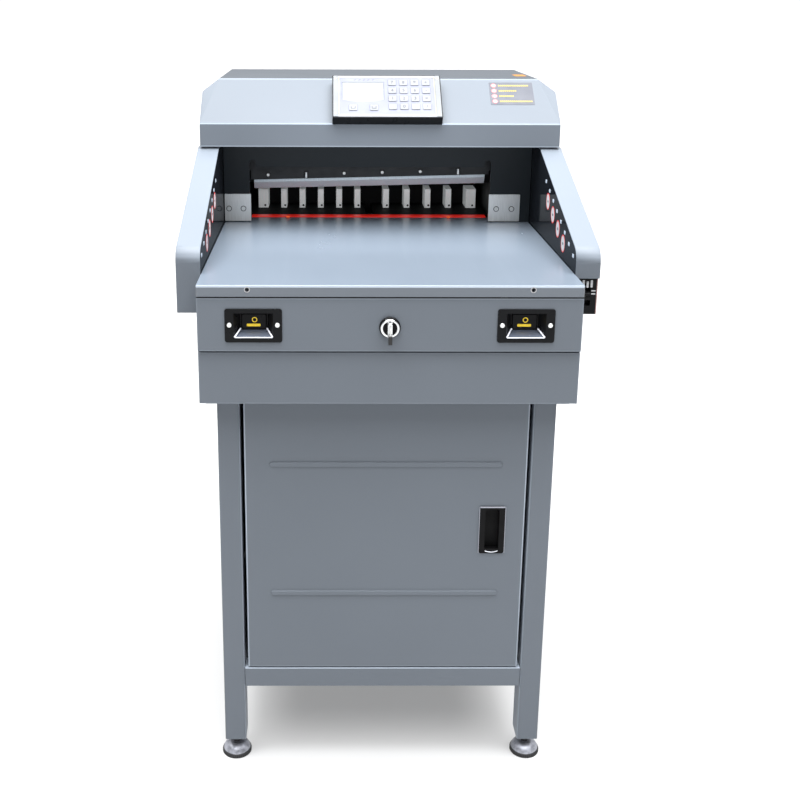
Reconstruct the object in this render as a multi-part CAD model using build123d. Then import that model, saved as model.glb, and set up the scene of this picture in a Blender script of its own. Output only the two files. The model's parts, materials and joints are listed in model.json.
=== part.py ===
from build123d import *
import math
import os

# Electric guillotine paper cutter on a cabinet stand. Millimetres, +Z up, the operator stands at -Y.
# Y is measured from near the knife opening's front plate, and Z from a level just above the floor.
# Every piece is moved when it is saved, so that the origin lies on the floor under the middle.
FRAME_Y = 50.0
FLOOR = -8.0

# ---- driving dimensions -------------------------------------------------------------------------
SHEET = 2.0                 # sheet steel of the covers
GAP = 0.5                   # gap between neighbouring covers
FIT = 0.05                  # radial clearance of a running shaft

LEG_FRONT = -417.0          # front face of the front legs
LEG_BACK = 298.0            # back face of the rear legs
LEG_OUT = 270.0             # half of the span over the legs
LEG_IN = 234.0
LEG_DEPTH = 44.0
LEG_BOTTOM = 29.5
LEG_TOP = 655.0
RAIL_LOW, RAIL_HIGH = 135.0, 170.0
FOOT_RADIUS = 24.2
FOOT_RIM, FOOT_CONE = 8.0, 12.0
NUT_ACROSS, NUT_HEIGHT = 11.5, 8.0
STUD_RADIUS = 6.0
CABINET_HALF = 262.0        # inner face of the cabinet's side panels

BODY_HALF = 292.5           # half width of the lower body
APRON_FRONT = -456.0
APRON_LOW, APRON_HIGH = 662.0, 745.0
PANEL_FRONT = -461.0
PANEL_LOW, PANEL_HIGH = 748.5, 833.5
TABLE_FRONT = -463.0
TABLE_HALF = 292.0
TABLE_TOP = 853.0
TABLE_LIP = 18.0
TABLE_PLATE = 10.0
LIP_HOLES, LIP_HOLE_Z, LIP_HOLE_RADIUS = (-215.2, 214.8), 846.0, 3.2

PLATE_FRONT = 25.0          # charcoal plate behind the table
PLATE_BACK = 29.0
THROAT_LEFT, THROAT_RIGHT = -243.4, 215.5
THROAT_TOP = 958.8
SLOT_WIDTH, SLOT_RISE = 12.0, 13.0
GUARD_LOW, GUARD_HIGH = 855.0, 907.0
GUARD_LEFT, GUARD_RIGHT = -291.5, 273.0     # outer ends of the stainless plates

FRAME_LEFT = (-276.0, -256.0)   # side frames, inner and outer face
FRAME_RIGHT = (226.0, 246.0)
FRAME_FRONT, FRAME_BACK = 31.0, 235.0
FRAME_LOW, FRAME_HIGH = 664.0, 1098.0

BEAM_FRONT, BLADE_FRONT, BLADE_BACK = 52.0, 76.0, 85.0
BLADE_LEFT, BLADE_RIGHT = -238.7, 211.4
EDGE_LEFT, EDGE_RIGHT = 908.0, 919.0    # height of the cutting edge at its two ends
BLADE_HEIGHT = 66.0
BEAM_ABOVE_EDGE, BEAM_HEIGHT = 22.0, 76.0
BEVEL_HEIGHT, EDGE_LAND = 13.0, 0.6
BOLT_ABOVE_EDGE = 31.0
BOLT_PITCH, BOLT_FIRST, BOLT_COUNT = 73.2, -209.6, 6
BOLT_HEAD, BOLT_SHANK = 3.0, 2.0
STUD_PLACES = (BOLT_FIRST + BOLT_PITCH, BOLT_FIRST + BOLT_PITCH * 5)
KNIFE_PIN_Z = 968.0
KNIFE_SLOT_Y = (51.0, 77.0)

STICK_Y = (71.0, 95.0)
STICK_TOP = 854.0
STICK_BOTTOM = 843.0
BED_LEFT, BED_RIGHT = -254.0, 224.0

CLAMP_Y = (87.0, 103.0)
CLAMP_LOW, CLAMP_HIGH = 920.0, 1000.0
CLAMP_FOOT_BACK = 140.0
CLAMP_LEFT, CLAMP_RIGHT = -252.0, 222.0
SCREW_X, CLAMP_SCREW_Y = -14.0, 119.0
CLAMP_SCREW_RADIUS = 8.0
CROSS_Z = (1040.0, 1062.0)

FINGER_FRONT, FINGER_BACK = 165.0, 216.0
FINGER_LOW, FINGER_HIGH = 854.5, 893.0
FINGER_WIDTH, END_FINGER_WIDTH = 11.8, 20.0
LEFT_FINGERS = [-184.0 + 37.5 * k for k in range(5)]
RIGHT_FINGERS = [24.2 + 42.4 * k for k in range(4)]
END_FINGERS = [-226.0, 197.3]
GAUGE_BACK = 240.0
GAUGE_SCREW_X, GAUGE_SCREW_Z, GAUGE_SCREW_RADIUS = -11.0, 812.0, 9.0
ROD_OFFSET, ROD_RADIUS = 34.0, 7.0
REAR_TABLE_BACK = 575.0
BEARER_Y = ((98.0, 110.0), (532.0, 544.0))

HOOD_FRONT, HOOD_BACK = -59.0, 298.0
HOOD_LOW, HOOD_BEND, HOOD_TOP = 1007.6, 1050.4, 1124.3
HOOD_SLOPE_BACK = 29.0
HOOD_HALF, HOOD_TOP_HALF, HOOD_CHAMFER_LOW = 326.0, 296.0, 1101.8

WING_IN, WING_OUT = 292.8, 331.0
WING_FRONT, WING_BACK = -392.0, 298.0
WING_LOW, WING_TOP = 789.5, 1005.0
WING_SLOPE_TOP_Y, WING_BEND_Z, WING_BEND_R = -59.0, 888.0, 26.0
BARRIER = 3.0               # thickness of the glossy panels in the wings
SENSOR_FIRST, SENSOR_STEP, SENSOR_COUNT = (-124.0, 956.0), (-34.7, -11.3), 8
NOTCH_BACK, NOTCH_TOP = -326.0, 846.0
SWITCH_LOW = 786.0

REAR_HALF = 262.0
REAR_END = 585.0
REAR_LOW, REAR_HIGH = 786.0, 948.0

BOX_LEFT, BOX_RIGHT = -86.5, 112.0      # control box on the hood's slope
BOX_LOW, BOX_LENGTH, BOX_THICK = -3.5, 106.7, 18.5

DISPLAY_X = (-68.2, 6.9)
DISPLAY_TOP, DISPLAY_CORNER, DISPLAY_SAG = 85.4, 41.1, 35.0
PAD_FIRST, PAD_STEP = (22.8, 83.8), (20.6, 20.3)
SOFT_KEYS = [(-49.0, 20.4), (-11.3, 20.4)]
KEY_HALF_W, KEY_HALF_H = 7.4, 7.2

BUTTON_X, BUTTON_Z = 206.5, 789.5       # cut buttons in the front panel
BEZEL_W, BEZEL_H = 87.0, 53.0
BUTTON_W, BUTTON_H = 38.0, 24.0
BUTTON_RISE = 2.5           # the button sits this much above the bezel's middle
BEZEL_SCREW_X, BEZEL_SCREW_RISE = 36.4, 1.3
KEY_Z = 787.3
COLLAR_FRONT = PANEL_FRONT - 5

DOOR_HALF = 228.0
DOOR_LOW, DOOR_HIGH = 173.0, 653.0
DOOR_DEPTH = 18.0
HINGE_X, HINGE_Y = -220.0, -409.0
HANDLE_X, HANDLE_Z = 175.2, 428.0
HANDLE_W, HANDLE_H = 41.5, 84.0
PULL_HALF, PULL_LOW, PULL_HIGH = 11.5, -37.0, 36.5     # the recess, about the pull's middle
BEAD_HALF, BEAD_RISE, BEAD_TALL = 188.0, 2.2, 9.2
BEAD_PLACES = (543.3, 312.6)

CRANK_Y, CRANK_Z, CRANK_RADIUS = 64.0, 720.0, 33.0
MOTOR_RADIUS, MOTOR_RIBS = 52.0, 12
COVER_SCREW = 4.0
GUARD_SCREWS = (-283.5, -256.0, 228.2, 257.5)


# ---- small helpers --------------------------------------------------------------------------------
def block(x, y, z):
    """A box between the given pairs of limits."""
    size = (x[1] - x[0], y[1] - y[0], z[1] - z[0])
    middle = ((x[0] + x[1]) / 2, (y[0] + y[1]) / 2, (z[0] + z[1]) / 2)
    return Pos(*middle) * Box(*size)


def soft_block(x, y, z, radius, axis=Axis.Z):
    """A box with the four edges along one axis rounded."""
    solid = block(x, y, z)
    return fillet(solid.edges().filter_by(axis), radius)


def rod(axis, radius, ends, at):
    """A round bar along X, Y or Z between two ends, at the other two coordinates."""
    length = ends[1] - ends[0]
    middle = (ends[0] + ends[1]) / 2
    if axis == "x":
        return Pos(middle, at[0], at[1]) * Rot(0, 90, 0) * Cylinder(radius, length)
    if axis == "y":
        return Pos(at[0], middle, at[1]) * Rot(90, 0, 0) * Cylinder(radius, length)
    return Pos(at[0], at[1], middle) * Cylinder(radius, length)


def profile_x(points, x):
    """A closed outline of (y, z) points, made into a prism between two X limits."""
    face = Plane.YZ * make_face(Polyline(*points, close=True))
    return Pos(x[0], 0, 0) * extrude(face, x[1] - x[0], dir=(1, 0, 0))


def profile_y(points, y):
    """A closed outline of (x, z) points, made into a prism between two Y limits."""
    wire = Polyline(*[(px, 0, pz) for px, pz in points], close=True)
    return Pos(0, y[0], 0) * extrude(make_face(wire), y[1] - y[0], dir=(0, 1, 0))


def group(*solids):
    """Separate solids that share one node."""
    return Compound(children=[s for item in solids for s in item.solids()])


def save(name, shape):
    export_step(Pos(0, -FRAME_Y, -FLOOR) * shape, "parts/" + name + ".step")


# ---- stand ------------------------------------------------------------------------------------------
def leg(side, front):
    """A folded post: outer face, side face, an inner return and a foot plate for the levelling stud."""
    x = sorted((side * LEG_IN, side * LEG_OUT))
    y = (LEG_FRONT, LEG_FRONT + LEG_DEPTH) if front else (LEG_BACK - LEG_DEPTH, LEG_BACK)
    post = soft_block(x, y, (LEG_BOTTOM, LEG_TOP), 3.0)
    wall = 2.5
    inner_x = (x[0] + wall, x[1] - wall)
    if front:
        inner_y = (y[0] + wall, y[1] + 1)
    else:
        inner_y = (y[0] - 1, y[1] - wall)
    post -= block(inner_x, inner_y, (LEG_BOTTOM + 5, LEG_TOP + 1))
    post -= rod("z", STUD_RADIUS + FIT, (LEG_BOTTOM - 1, LEG_BOTTOM + 6), foot_place(side, front))
    return post


def foot_place(side, front):
    y = LEG_FRONT + LEG_DEPTH / 2 if front else LEG_BACK - LEG_DEPTH / 2
    return (side * (LEG_IN + LEG_OUT) / 2, y)


def foot(side, front):
    """A rimmed disc, a domed cap, the threaded stud and a lock nut just under the leg."""
    at = foot_place(side, front)
    rim_top = FLOOR + FOOT_RIM
    disc = rod("z", FOOT_RADIUS, (FLOOR, rim_top), at)
    disc = chamfer(disc.edges().group_by(Axis.Z)[-1], 1.2)
    inner, outer, top = NUT_ACROSS - 2, FOOT_RADIUS - 1.2, rim_top + FOOT_CONE
    crown = ThreePointArc((outer, 0, rim_top), (outer - 4, 0, top - 4.5), (inner, 0, top))
    sides = Polyline((inner, 0, top), (0, 0, top), (0, 0, rim_top), (outer, 0, rim_top))
    cap = Pos(at[0], at[1], 0) * revolve(make_face(crown + sides), Axis.Z)
    stud = rod("z", STUD_RADIUS, (rim_top + FOOT_CONE - 1, LEG_BOTTOM + 38), at)
    nut_low = LEG_BOTTOM - 0.3 - NUT_HEIGHT
    nut = Pos(at[0], at[1], nut_low) * extrude(RegularPolygon(NUT_ACROSS, 6), NUT_HEIGHT)
    return disc + cap + stud + nut


def rail(y):
    """Channel across the stand between the legs, with its flanges turned inward."""
    outer = block((-LEG_IN + GAP, LEG_IN - GAP), y, (RAIL_LOW, RAIL_HIGH))
    wall = 2.5
    if y[0] < 0:
        hollow_y = (y[0] + wall, y[1] + 1)
    else:
        hollow_y = (y[0] - 1, y[1] - wall)
    return outer - block((-LEG_IN, LEG_IN), hollow_y, (RAIL_LOW + wall, RAIL_HIGH - wall))


def stand():
    """Posts, rails and the sheets that close the cabinet."""
    save("legs", group(*[leg(s, f) for s in (-1, 1) for f in (True, False)]))
    front_rail = rail((LEG_FRONT, LEG_FRONT + 30))
    front_rail -= rod("z", 3 + FIT, (RAIL_HIGH - 4, RAIL_HIGH + 1), (HINGE_X, HINGE_Y))
    back_rail = rail((LEG_BACK - 30, LEG_BACK))
    save("stand_rails", group(front_rail, back_rail))
    side_y = (LEG_FRONT + LEG_DEPTH + GAP, LEG_BACK - LEG_DEPTH - GAP)
    sides = [
        block(sorted((s * CABINET_HALF, s * (CABINET_HALF + SHEET))), side_y, (RAIL_LOW, LEG_TOP - GAP))
        for s in (-1, 1)
    ]
    save("cabinet_side_panels", group(*sides))
    back = block((-LEG_IN + GAP, LEG_IN - GAP), (264, 264 + SHEET), (RAIL_HIGH + 1, LEG_TOP - GAP))
    save("cabinet_back_panel", back)
    floor_x = (-CABINET_HALF + GAP, CABINET_HALF - GAP)
    save("cabinet_floor", block(floor_x, side_y, (RAIL_HIGH + 4, RAIL_HIGH + 4 + SHEET)))
    plate = block((-284, 284), (-440, 296), (LEG_TOP + 0.5, APRON_LOW - 0.5))
    plate -= rod("z", 3 + FIT, (LEG_TOP, APRON_LOW), (HINGE_X, HINGE_Y))
    save("base_plate", plate)
    for s, side in ((-1, "left"), (1, "right")):
        for f, end in ((True, "front"), (False, "rear")):
            save(end + "_" + side + "_foot", foot(s, f))


# ---- door ---------------------------------------------------------------------------------------------
def cabinet_door():
    """A folded pan with two pressed beads, a hole for the pull and bores for its two pins."""
    y = (LEG_FRONT, LEG_FRONT + DOOR_DEPTH)
    pan = block((-DOOR_HALF, DOOR_HALF), y, (DOOR_LOW, DOOR_HIGH))
    pan = fillet(pan.edges().filter_by(Axis.Z).group_by(Axis.Y)[0], 1.8)
    pan -= block((-DOOR_HALF + SHEET, DOOR_HALF - SHEET), (y[0] + SHEET, y[1] + 1),
                 (DOOR_LOW + SHEET, DOOR_HIGH - SHEET))
    for z in BEAD_PLACES:
        tall = (z - BEAD_TALL / 2, z + BEAD_TALL / 2)
        deep = (y[0] - BEAD_RISE, y[0] + 1)
        bead = soft_block((-BEAD_HALF, BEAD_HALF), deep, tall, BEAD_TALL / 2 - 0.1, Axis.Y)
        pan += fillet(bead.edges().group_by(Axis.Y)[0], BEAD_RISE - 0.2)
    pan -= block((HANDLE_X - HANDLE_W / 2 + 4, HANDLE_X + HANDLE_W / 2 - 4), (y[0] - 1, y[0] + 3),
                 (HANDLE_Z - HANDLE_H / 2 + 4, HANDLE_Z + HANDLE_H / 2 - 4))
    for z in ((DOOR_LOW - 1, DOOR_LOW + 3), (DOOR_HIGH - 3, DOOR_HIGH + 1)):
        pan -= rod("z", 3 + FIT, z, (HINGE_X, HINGE_Y))
    return pan


def door_handle():
    """A recessed pull: flange, cup and a turned-up finger lip."""
    front = LEG_FRONT - 1.8
    half_w, half_h = HANDLE_W / 2, HANDLE_H / 2
    flange = soft_block((HANDLE_X - half_w, HANDLE_X + half_w), (front, LEG_FRONT),
                        (HANDLE_Z - half_h, HANDLE_Z + half_h), 4.0, Axis.Y)
    cup = soft_block((HANDLE_X - half_w + 4.3, HANDLE_X + half_w - 4.3), (LEG_FRONT, LEG_FRONT + 14.5),
                     (HANDLE_Z - half_h + 4.3, HANDLE_Z + half_h - 4.3), 3.0, Axis.Y)
    hollow_x = (HANDLE_X - PULL_HALF, HANDLE_X + PULL_HALF)
    hollow = soft_block(hollow_x, (front - 1, LEG_FRONT + 12.5),
                        (HANDLE_Z + PULL_LOW, HANDLE_Z + PULL_HIGH), 3.5, Axis.Y)
    lip = block(hollow_x, (front, front + 3), (HANDLE_Z + PULL_LOW - 0.5, HANDLE_Z + PULL_LOW + 3))
    return flange + cup - hollow + lip


def door():
    save("cabinet_door", cabinet_door())
    save("door_handle", door_handle())
    ends = ((RAIL_HIGH - 3, DOOR_LOW + 6), (DOOR_HIGH - 6, APRON_LOW - 1))
    save("door_hinge_pins", group(*[rod("z", 3.0, z, (HINGE_X, HINGE_Y)) for z in ends]))


# ---- lower body and table ---------------------------------------------------------------------------
def front_apron():
    face = block((-BODY_HALF, BODY_HALF), (APRON_FRONT, APRON_FRONT + SHEET), (APRON_LOW, APRON_HIGH))
    inside = BODY_HALF - SHEET - GAP
    fold = block((-inside, inside), (APRON_FRONT, APRON_FRONT + 22), (APRON_LOW, APRON_LOW + SHEET))
    return face + fold


def front_panel():
    """Folded panel that holds the two cut buttons and the key switch."""
    face = block((-TABLE_HALF, TABLE_HALF), (PANEL_FRONT, PANEL_FRONT + SHEET), (PANEL_LOW, PANEL_HIGH))
    inside = BODY_HALF - SHEET - GAP
    fold = block((-inside, inside), (PANEL_FRONT, PANEL_FRONT + 24), (PANEL_LOW, PANEL_LOW + SHEET))
    shape = face + fold
    through = (PANEL_FRONT - 1, PANEL_FRONT + SHEET + 1)
    for s in (-1, 1):
        centre = s * BUTTON_X
        shape -= block((centre - 37, centre + 37), through, (BUTTON_Z - 21, BUTTON_Z + 21))
    return shape - rod("y", 12.0, through, (0, KEY_Z))


def side_cover(side):
    x = sorted((side * BODY_HALF, side * (BODY_HALF - SHEET)))
    face = block(x, (APRON_FRONT + SHEET + GAP, 295.5), (APRON_LOW, TABLE_TOP - TABLE_LIP - GAP))
    inner = sorted((side * BODY_HALF, side * (BODY_HALF - 16)))
    foot_fold = block(inner, (APRON_FRONT + 24, 295.5), (APRON_LOW, APRON_LOW + SHEET))
    return face + foot_fold


def table_plate():
    """Front table with a turned-down lip, and a tongue through the knife opening."""
    top = block((-TABLE_HALF, TABLE_HALF), (TABLE_FRONT, PLATE_FRONT), (TABLE_TOP - TABLE_LIP, TABLE_TOP))
    top = fillet(top.edges().filter_by(Axis.Z).group_by(Axis.Y)[0], 2.5)
    top = fillet(top.edges().group_by(Axis.Z)[-1].group_by(Axis.Y)[0], 1.2)
    top -= block((-TABLE_HALF + 8, TABLE_HALF - 8), (TABLE_FRONT + 8, PLATE_FRONT - 8),
                 (TABLE_TOP - TABLE_LIP - 1, TABLE_TOP - TABLE_PLATE))
    tongue_y = (PLATE_FRONT - 1, STICK_Y[0] - 0.2)
    tongue = block((BED_LEFT, BED_RIGHT), tongue_y, (TABLE_TOP - TABLE_LIP, TABLE_TOP))
    for x in LIP_HOLES:
        top -= rod("y", LIP_HOLE_RADIUS, (TABLE_FRONT - 1, TABLE_FRONT + 9), (x, LIP_HOLE_Z))
    return top + tongue


def rear_table():
    """Table behind the knife, with a ledge for the cutting stick and a slot for the back gauge."""
    bed = block((BED_LEFT, BED_RIGHT), (STICK_Y[1] + 0.2, REAR_TABLE_BACK), (TABLE_TOP - 13, TABLE_TOP))
    ledge_z = (TABLE_TOP - TABLE_LIP, STICK_BOTTOM - 0.05)
    ledge = block((BED_LEFT, BED_RIGHT), (STICK_Y[0], STICK_Y[1] + 1), ledge_z)
    slot = block((GAUGE_SCREW_X - 8, GAUGE_SCREW_X + 8), (116, 528), (TABLE_TOP - 20, TABLE_TOP + 1))
    return bed + ledge - slot


def lower_body():
    save("front_apron", front_apron())
    save("front_panel", front_panel())
    save("body_side_covers", group(side_cover(-1), side_cover(1)))
    save("table_plate", table_plate())
    save("rear_table", rear_table())
    stick = soft_block((-244, 216), STICK_Y, (STICK_BOTTOM, STICK_TOP), 1.0, Axis.X)
    save("cutting_stick", stick)


# ---- frames, front plate and covers ------------------------------------------------------------------
def side_frame(x, right):
    """Machined side plate with the knife's guide slot, and on the right the crank shaft's bore."""
    plate = block(x, (FRAME_FRONT, FRAME_BACK), (FRAME_LOW, FRAME_HIGH))
    wide = (x[0] - 1, x[1] + 1)
    plate -= block(wide, KNIFE_SLOT_Y, (868, 1022))
    plate = fillet(plate.edges().filter_by(Axis.X).group_by(Axis.Z)[-1], 18)
    if right:
        plate -= rod("x", 15 + FIT, wide, (CRANK_Y, CRANK_Z))
    return plate


def front_plate():
    """Charcoal plate with the knife opening and a round-topped slot at each end of it."""
    plate = block((-TABLE_HALF, TABLE_HALF), (PLATE_FRONT, PLATE_BACK), (TABLE_TOP + 0.3, 1006))
    cut_y = (PLATE_FRONT - 1, PLATE_BACK + 1)
    plate -= block((THROAT_LEFT, THROAT_RIGHT), cut_y, (TABLE_TOP - 1, THROAT_TOP))
    for x in ((THROAT_LEFT, THROAT_LEFT + SLOT_WIDTH), (THROAT_RIGHT - SLOT_WIDTH, THROAT_RIGHT)):
        centre = (x[0] + x[1]) / 2
        top = THROAT_TOP + SLOT_RISE - SLOT_WIDTH / 2
        plate -= block(x, cut_y, (THROAT_TOP - 1, top))
        plate -= rod("y", SLOT_WIDTH / 2, cut_y, (centre, top))
    return plate


def guard_plates():
    """Two stainless plates that flank the knife opening."""
    y = (PLATE_FRONT - 3, PLATE_FRONT)
    left = soft_block((GUARD_LEFT, THROAT_LEFT + 2), y, (GUARD_LOW, GUARD_HIGH), 1.0, Axis.Y)
    right = soft_block((THROAT_RIGHT - 2, GUARD_RIGHT), y, (GUARD_LOW, GUARD_HIGH), 1.0, Axis.Y)
    return group(left, right)


def wing_outline(inset):
    """Side view of a wing: upright front, rounded bend, slope, then level under the hood."""
    angle = math.atan2(WING_TOP - 3 - WING_BEND_Z, WING_SLOPE_TOP_Y - WING_FRONT)
    front, low, top = WING_FRONT + inset, WING_LOW + inset, WING_TOP - inset
    drop = inset / math.cos(angle)
    points = [
        (front, low),
        (front, WING_BEND_Z - drop + inset * math.tan(angle)),
        (WING_SLOPE_TOP_Y, WING_TOP - 3 - drop),
        (WING_SLOPE_TOP_Y + 4, top),
        (WING_BACK - inset, top),
        (WING_BACK - inset, low),
    ]
    return points


def wing_solid(side, x_low, x_high, inset):
    x = sorted((side * x_low, side * x_high))
    solid = profile_x(wing_outline(inset), x)
    bend = [
        e for e in solid.edges().filter_by(Axis.X)
        if e.center().Y < WING_FRONT + inset + 1 and e.center().Z > WING_BEND_Z - 20
    ]
    return fillet(bend, WING_BEND_R - inset)


def wing_cover(side):
    """Folded cover, open on the inside where the light barrier panel closes it."""
    solid = wing_solid(side, WING_IN, WING_OUT, 0.0)
    solid -= wing_solid(side, WING_IN - 1, WING_OUT - SHEET, SHEET)
    if side > 0:
        notch_y = (WING_FRONT - 1, NOTCH_BACK)
        solid -= block((WING_IN - 2, WING_OUT + 1), notch_y, (WING_LOW - 1, NOTCH_TOP))
    return solid


def barrier_panel(side):
    """Dark glossy panel on the inner face of a wing, above the table."""
    panel = wing_solid(side, WING_IN, WING_IN + BARRIER, SHEET + 0.3)
    panel -= block((-400, 400), (WING_FRONT - 5, PLATE_FRONT + 400), (WING_LOW - 5, TABLE_TOP - 4))
    panel -= block((-400, 400), (PLATE_BACK, WING_BACK + 5), (WING_LOW, WING_TOP + 5))
    for y, z in sensor_places():
        panel -= sensor(side, y, z, 0.0)
    return panel


def sensor_places():
    (y, z), (dy, dz) = SENSOR_FIRST, SENSOR_STEP
    return [(y + dy * k, z + dz * k) for k in range(SENSOR_COUNT)]


def sensor(side, y, z, less):
    """One lens window's prism; `less` shrinks it into the lens that fills the window."""
    x = sorted((side * (WING_IN - 1 + less), side * (WING_IN + BARRIER + 1 - less)))
    half_y, half_z = 5.5 - less / 4, 3.2 - less / 4
    return soft_block(x, (y - half_y, y + half_y), (z - half_z, z + half_z), 2.4, Axis.X)


def hood_solid(inset):
    """The hood: front band, slope and level top, with its two top corners cut off along it."""
    slope = math.atan2(HOOD_TOP - HOOD_BEND, HOOD_SLOPE_BACK - HOOD_FRONT)
    rise = inset * math.tan(slope / 2)
    points = [
        (HOOD_FRONT + inset, HOOD_LOW - (1 if inset else 0)),
        (HOOD_FRONT + inset, HOOD_BEND - inset * math.tan((math.pi / 2 - slope) / 2)),
        (HOOD_SLOPE_BACK + rise, HOOD_TOP - inset),
        (HOOD_BACK - inset, HOOD_TOP - inset),
        (HOOD_BACK - inset, HOOD_LOW - (1 if inset else 0)),
    ]
    half = HOOD_HALF - inset
    solid = profile_x(points, (-half, half))
    corner = math.atan2(HOOD_TOP - HOOD_CHAMFER_LOW, HOOD_HALF - HOOD_TOP_HALF)
    shift = inset * math.tan(corner / 2)
    drop = inset * math.tan((math.pi / 2 - corner) / 2)
    for s in (-1, 1):
        wedge = [
            (s * (HOOD_HALF - inset), HOOD_CHAMFER_LOW - drop),
            (s * (HOOD_TOP_HALF - shift), HOOD_TOP - inset),
            (s * (HOOD_TOP_HALF - shift), HOOD_TOP + 40),
            (s * (HOOD_HALF + 60), HOOD_TOP + 40),
            (s * (HOOD_HALF + 60), HOOD_CHAMFER_LOW - drop),
        ]
        solid -= profile_y(wedge, (HOOD_FRONT - 5, HOOD_BACK + 5))
    return solid


def hood():
    """Sheet hood over the knife head, open below, with a turned-in lip along its front."""
    outer = hood_solid(0.0)
    bends = [
        e for e in outer.edges().filter_by(Axis.X)
        if e.center().Z > HOOD_BEND - 1 and e.center().Y < HOOD_SLOPE_BACK + 1
    ]
    outer = fillet(bends, 3.0)
    shell = outer - hood_solid(SHEET)
    lip_x = (-HOOD_HALF + SHEET, HOOD_HALF - SHEET)
    lip = block(lip_x, (HOOD_FRONT + 1, HOOD_FRONT + 18), (HOOD_LOW, HOOD_LOW + SHEET))
    return shell + lip


def rear_cover():
    """Box cover over the rear table, open toward the machine, with a sloped back."""
    def outline(inset):
        return [
            (HOOD_BACK - (0 if not inset else 1), REAR_LOW + inset),
            (REAR_END - inset, REAR_LOW + inset),
            (REAR_END - inset, REAR_HIGH - 60 - inset * 0.4),
            (REAR_END - 60 - inset * 0.4, REAR_HIGH - inset),
            (HOOD_BACK - (0 if not inset else 1), REAR_HIGH - inset),
        ]
    shell = profile_x(outline(0), (-REAR_HALF, REAR_HALF))
    return shell - profile_x(outline(SHEET), (-REAR_HALF + SHEET, REAR_HALF - SHEET))


def back_panel():
    plate = block((-290, 290), (HOOD_BACK - SHEET, HOOD_BACK), (APRON_LOW, 1005))
    through = (HOOD_BACK - 8, HOOD_BACK + 2)
    plate -= block((-REAR_HALF + SHEET, REAR_HALF - SHEET), through, (REAR_LOW + SHEET, REAR_HIGH - SHEET))
    return plate - block((-252, -206), through, (694, 724))


def upper_covers():
    save("side_frames", group(side_frame(FRAME_LEFT, False), side_frame(FRAME_RIGHT, True)))
    save("front_plate", front_plate())
    save("guard_plates", guard_plates())
    save("left_wing_cover", wing_cover(-1))
    save("right_wing_cover", wing_cover(1))
    save("light_barrier_panels", group(barrier_panel(-1), barrier_panel(1)))
    lenses = [sensor(s, y, z, 0.6) for s in (-1, 1) for y, z in sensor_places()]
    save("light_barrier_lenses", group(*lenses))
    save("hood", hood())
    save("rear_cover", rear_cover())
    save("back_panel", back_panel())
    inlet = block((-251.7, -206.3), (290, 299.5), (694.3, 723.7))
    inlet += block((-256, -202), (298, 300), (689.5, 728.5))
    inlet -= block((-243, -215), (293, 301), (700, 718))
    save("power_inlet", inlet)


# ---- control box ---------------------------------------------------------------------------------------
def slope_plane():
    """Plane on the hood's slope: local x to the right, local y up the slope, local z out of it."""
    angle = math.atan2(HOOD_TOP - HOOD_BEND, HOOD_SLOPE_BACK - HOOD_FRONT)
    out = (0, -math.sin(angle), math.cos(angle))
    return Plane(origin=(0, HOOD_FRONT, HOOD_BEND), x_dir=(1, 0, 0), z_dir=out)


def key_places():
    """Middle of each key on the control face: a four by four pad, then the two soft keys."""
    (x, along), (dx, down) = PAD_FIRST, PAD_STEP
    pad = [(x + dx * c, along - down * r) for r in range(4) for c in range(4)]
    return pad + SOFT_KEYS


def key_block(x, along, more, out):
    """A key's prism on the slope, or its opening when `more` widens it."""
    wide, tall = KEY_HALF_W + more, KEY_HALF_H + more
    return soft_block((x - wide, x + wide), (along - tall, along + tall), out, 2.0)


def display_outline(inset, out):
    """The display's prism: straight top and sides, and a bottom edge that bows downward."""
    left, right = DISPLAY_X[0] + inset, DISPLAY_X[1] - inset
    top, corner, sag = DISPLAY_TOP - inset, DISPLAY_CORNER + inset, DISPLAY_SAG + inset
    sides = Polyline((right, corner), (right, top), (left, top), (left, corner))
    bow = ThreePointArc((left, corner), ((left + right) / 2, sag), (right, corner))
    return Pos(0, 0, out[0]) * extrude(make_face(sides + bow), out[1] - out[0])


def control():
    """Box, face plate, display window and the keys."""
    box = block((BOX_LEFT, BOX_RIGHT), (BOX_LOW, BOX_LOW + BOX_LENGTH), (0.3, BOX_THICK))
    box = fillet(box.edges().filter_by(Axis.Z), 2.0)
    face_x = (BOX_LEFT + 1.5, BOX_RIGHT - 1.5)
    face_y = (BOX_LOW + 1.5, BOX_LOW + BOX_LENGTH - 1.5)
    recess = soft_block(face_x, face_y, (BOX_THICK - 1.2, BOX_THICK + 1), 2.0)
    display = display_outline(0.0, (BOX_THICK - 6, BOX_THICK + 1))
    save("control_box", slope_plane() * (box - recess - display))
    face = soft_block((face_x[0] + 0.2, face_x[1] - 0.2), (face_y[0] + 0.2, face_y[1] - 0.2),
                      (BOX_THICK - 1.1, BOX_THICK + 0.3), 2.0)
    window = display_outline(0.2, (BOX_THICK - 5, BOX_THICK - 0.2))
    face -= display
    keys = []
    for x, along in key_places():
        key = key_block(x, along, 0.0, (BOX_THICK - 0.4, BOX_THICK + 1.4))
        face -= key_block(x, along, 0.2, (BOX_THICK - 0.5, BOX_THICK + 1))
        keys.append(fillet(key.edges().group_by(Axis.Z)[-1], 0.6))
    save("control_face", slope_plane() * face)
    save("display_window", slope_plane() * window)
    save("keypad_keys", slope_plane() * group(*keys))


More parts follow.
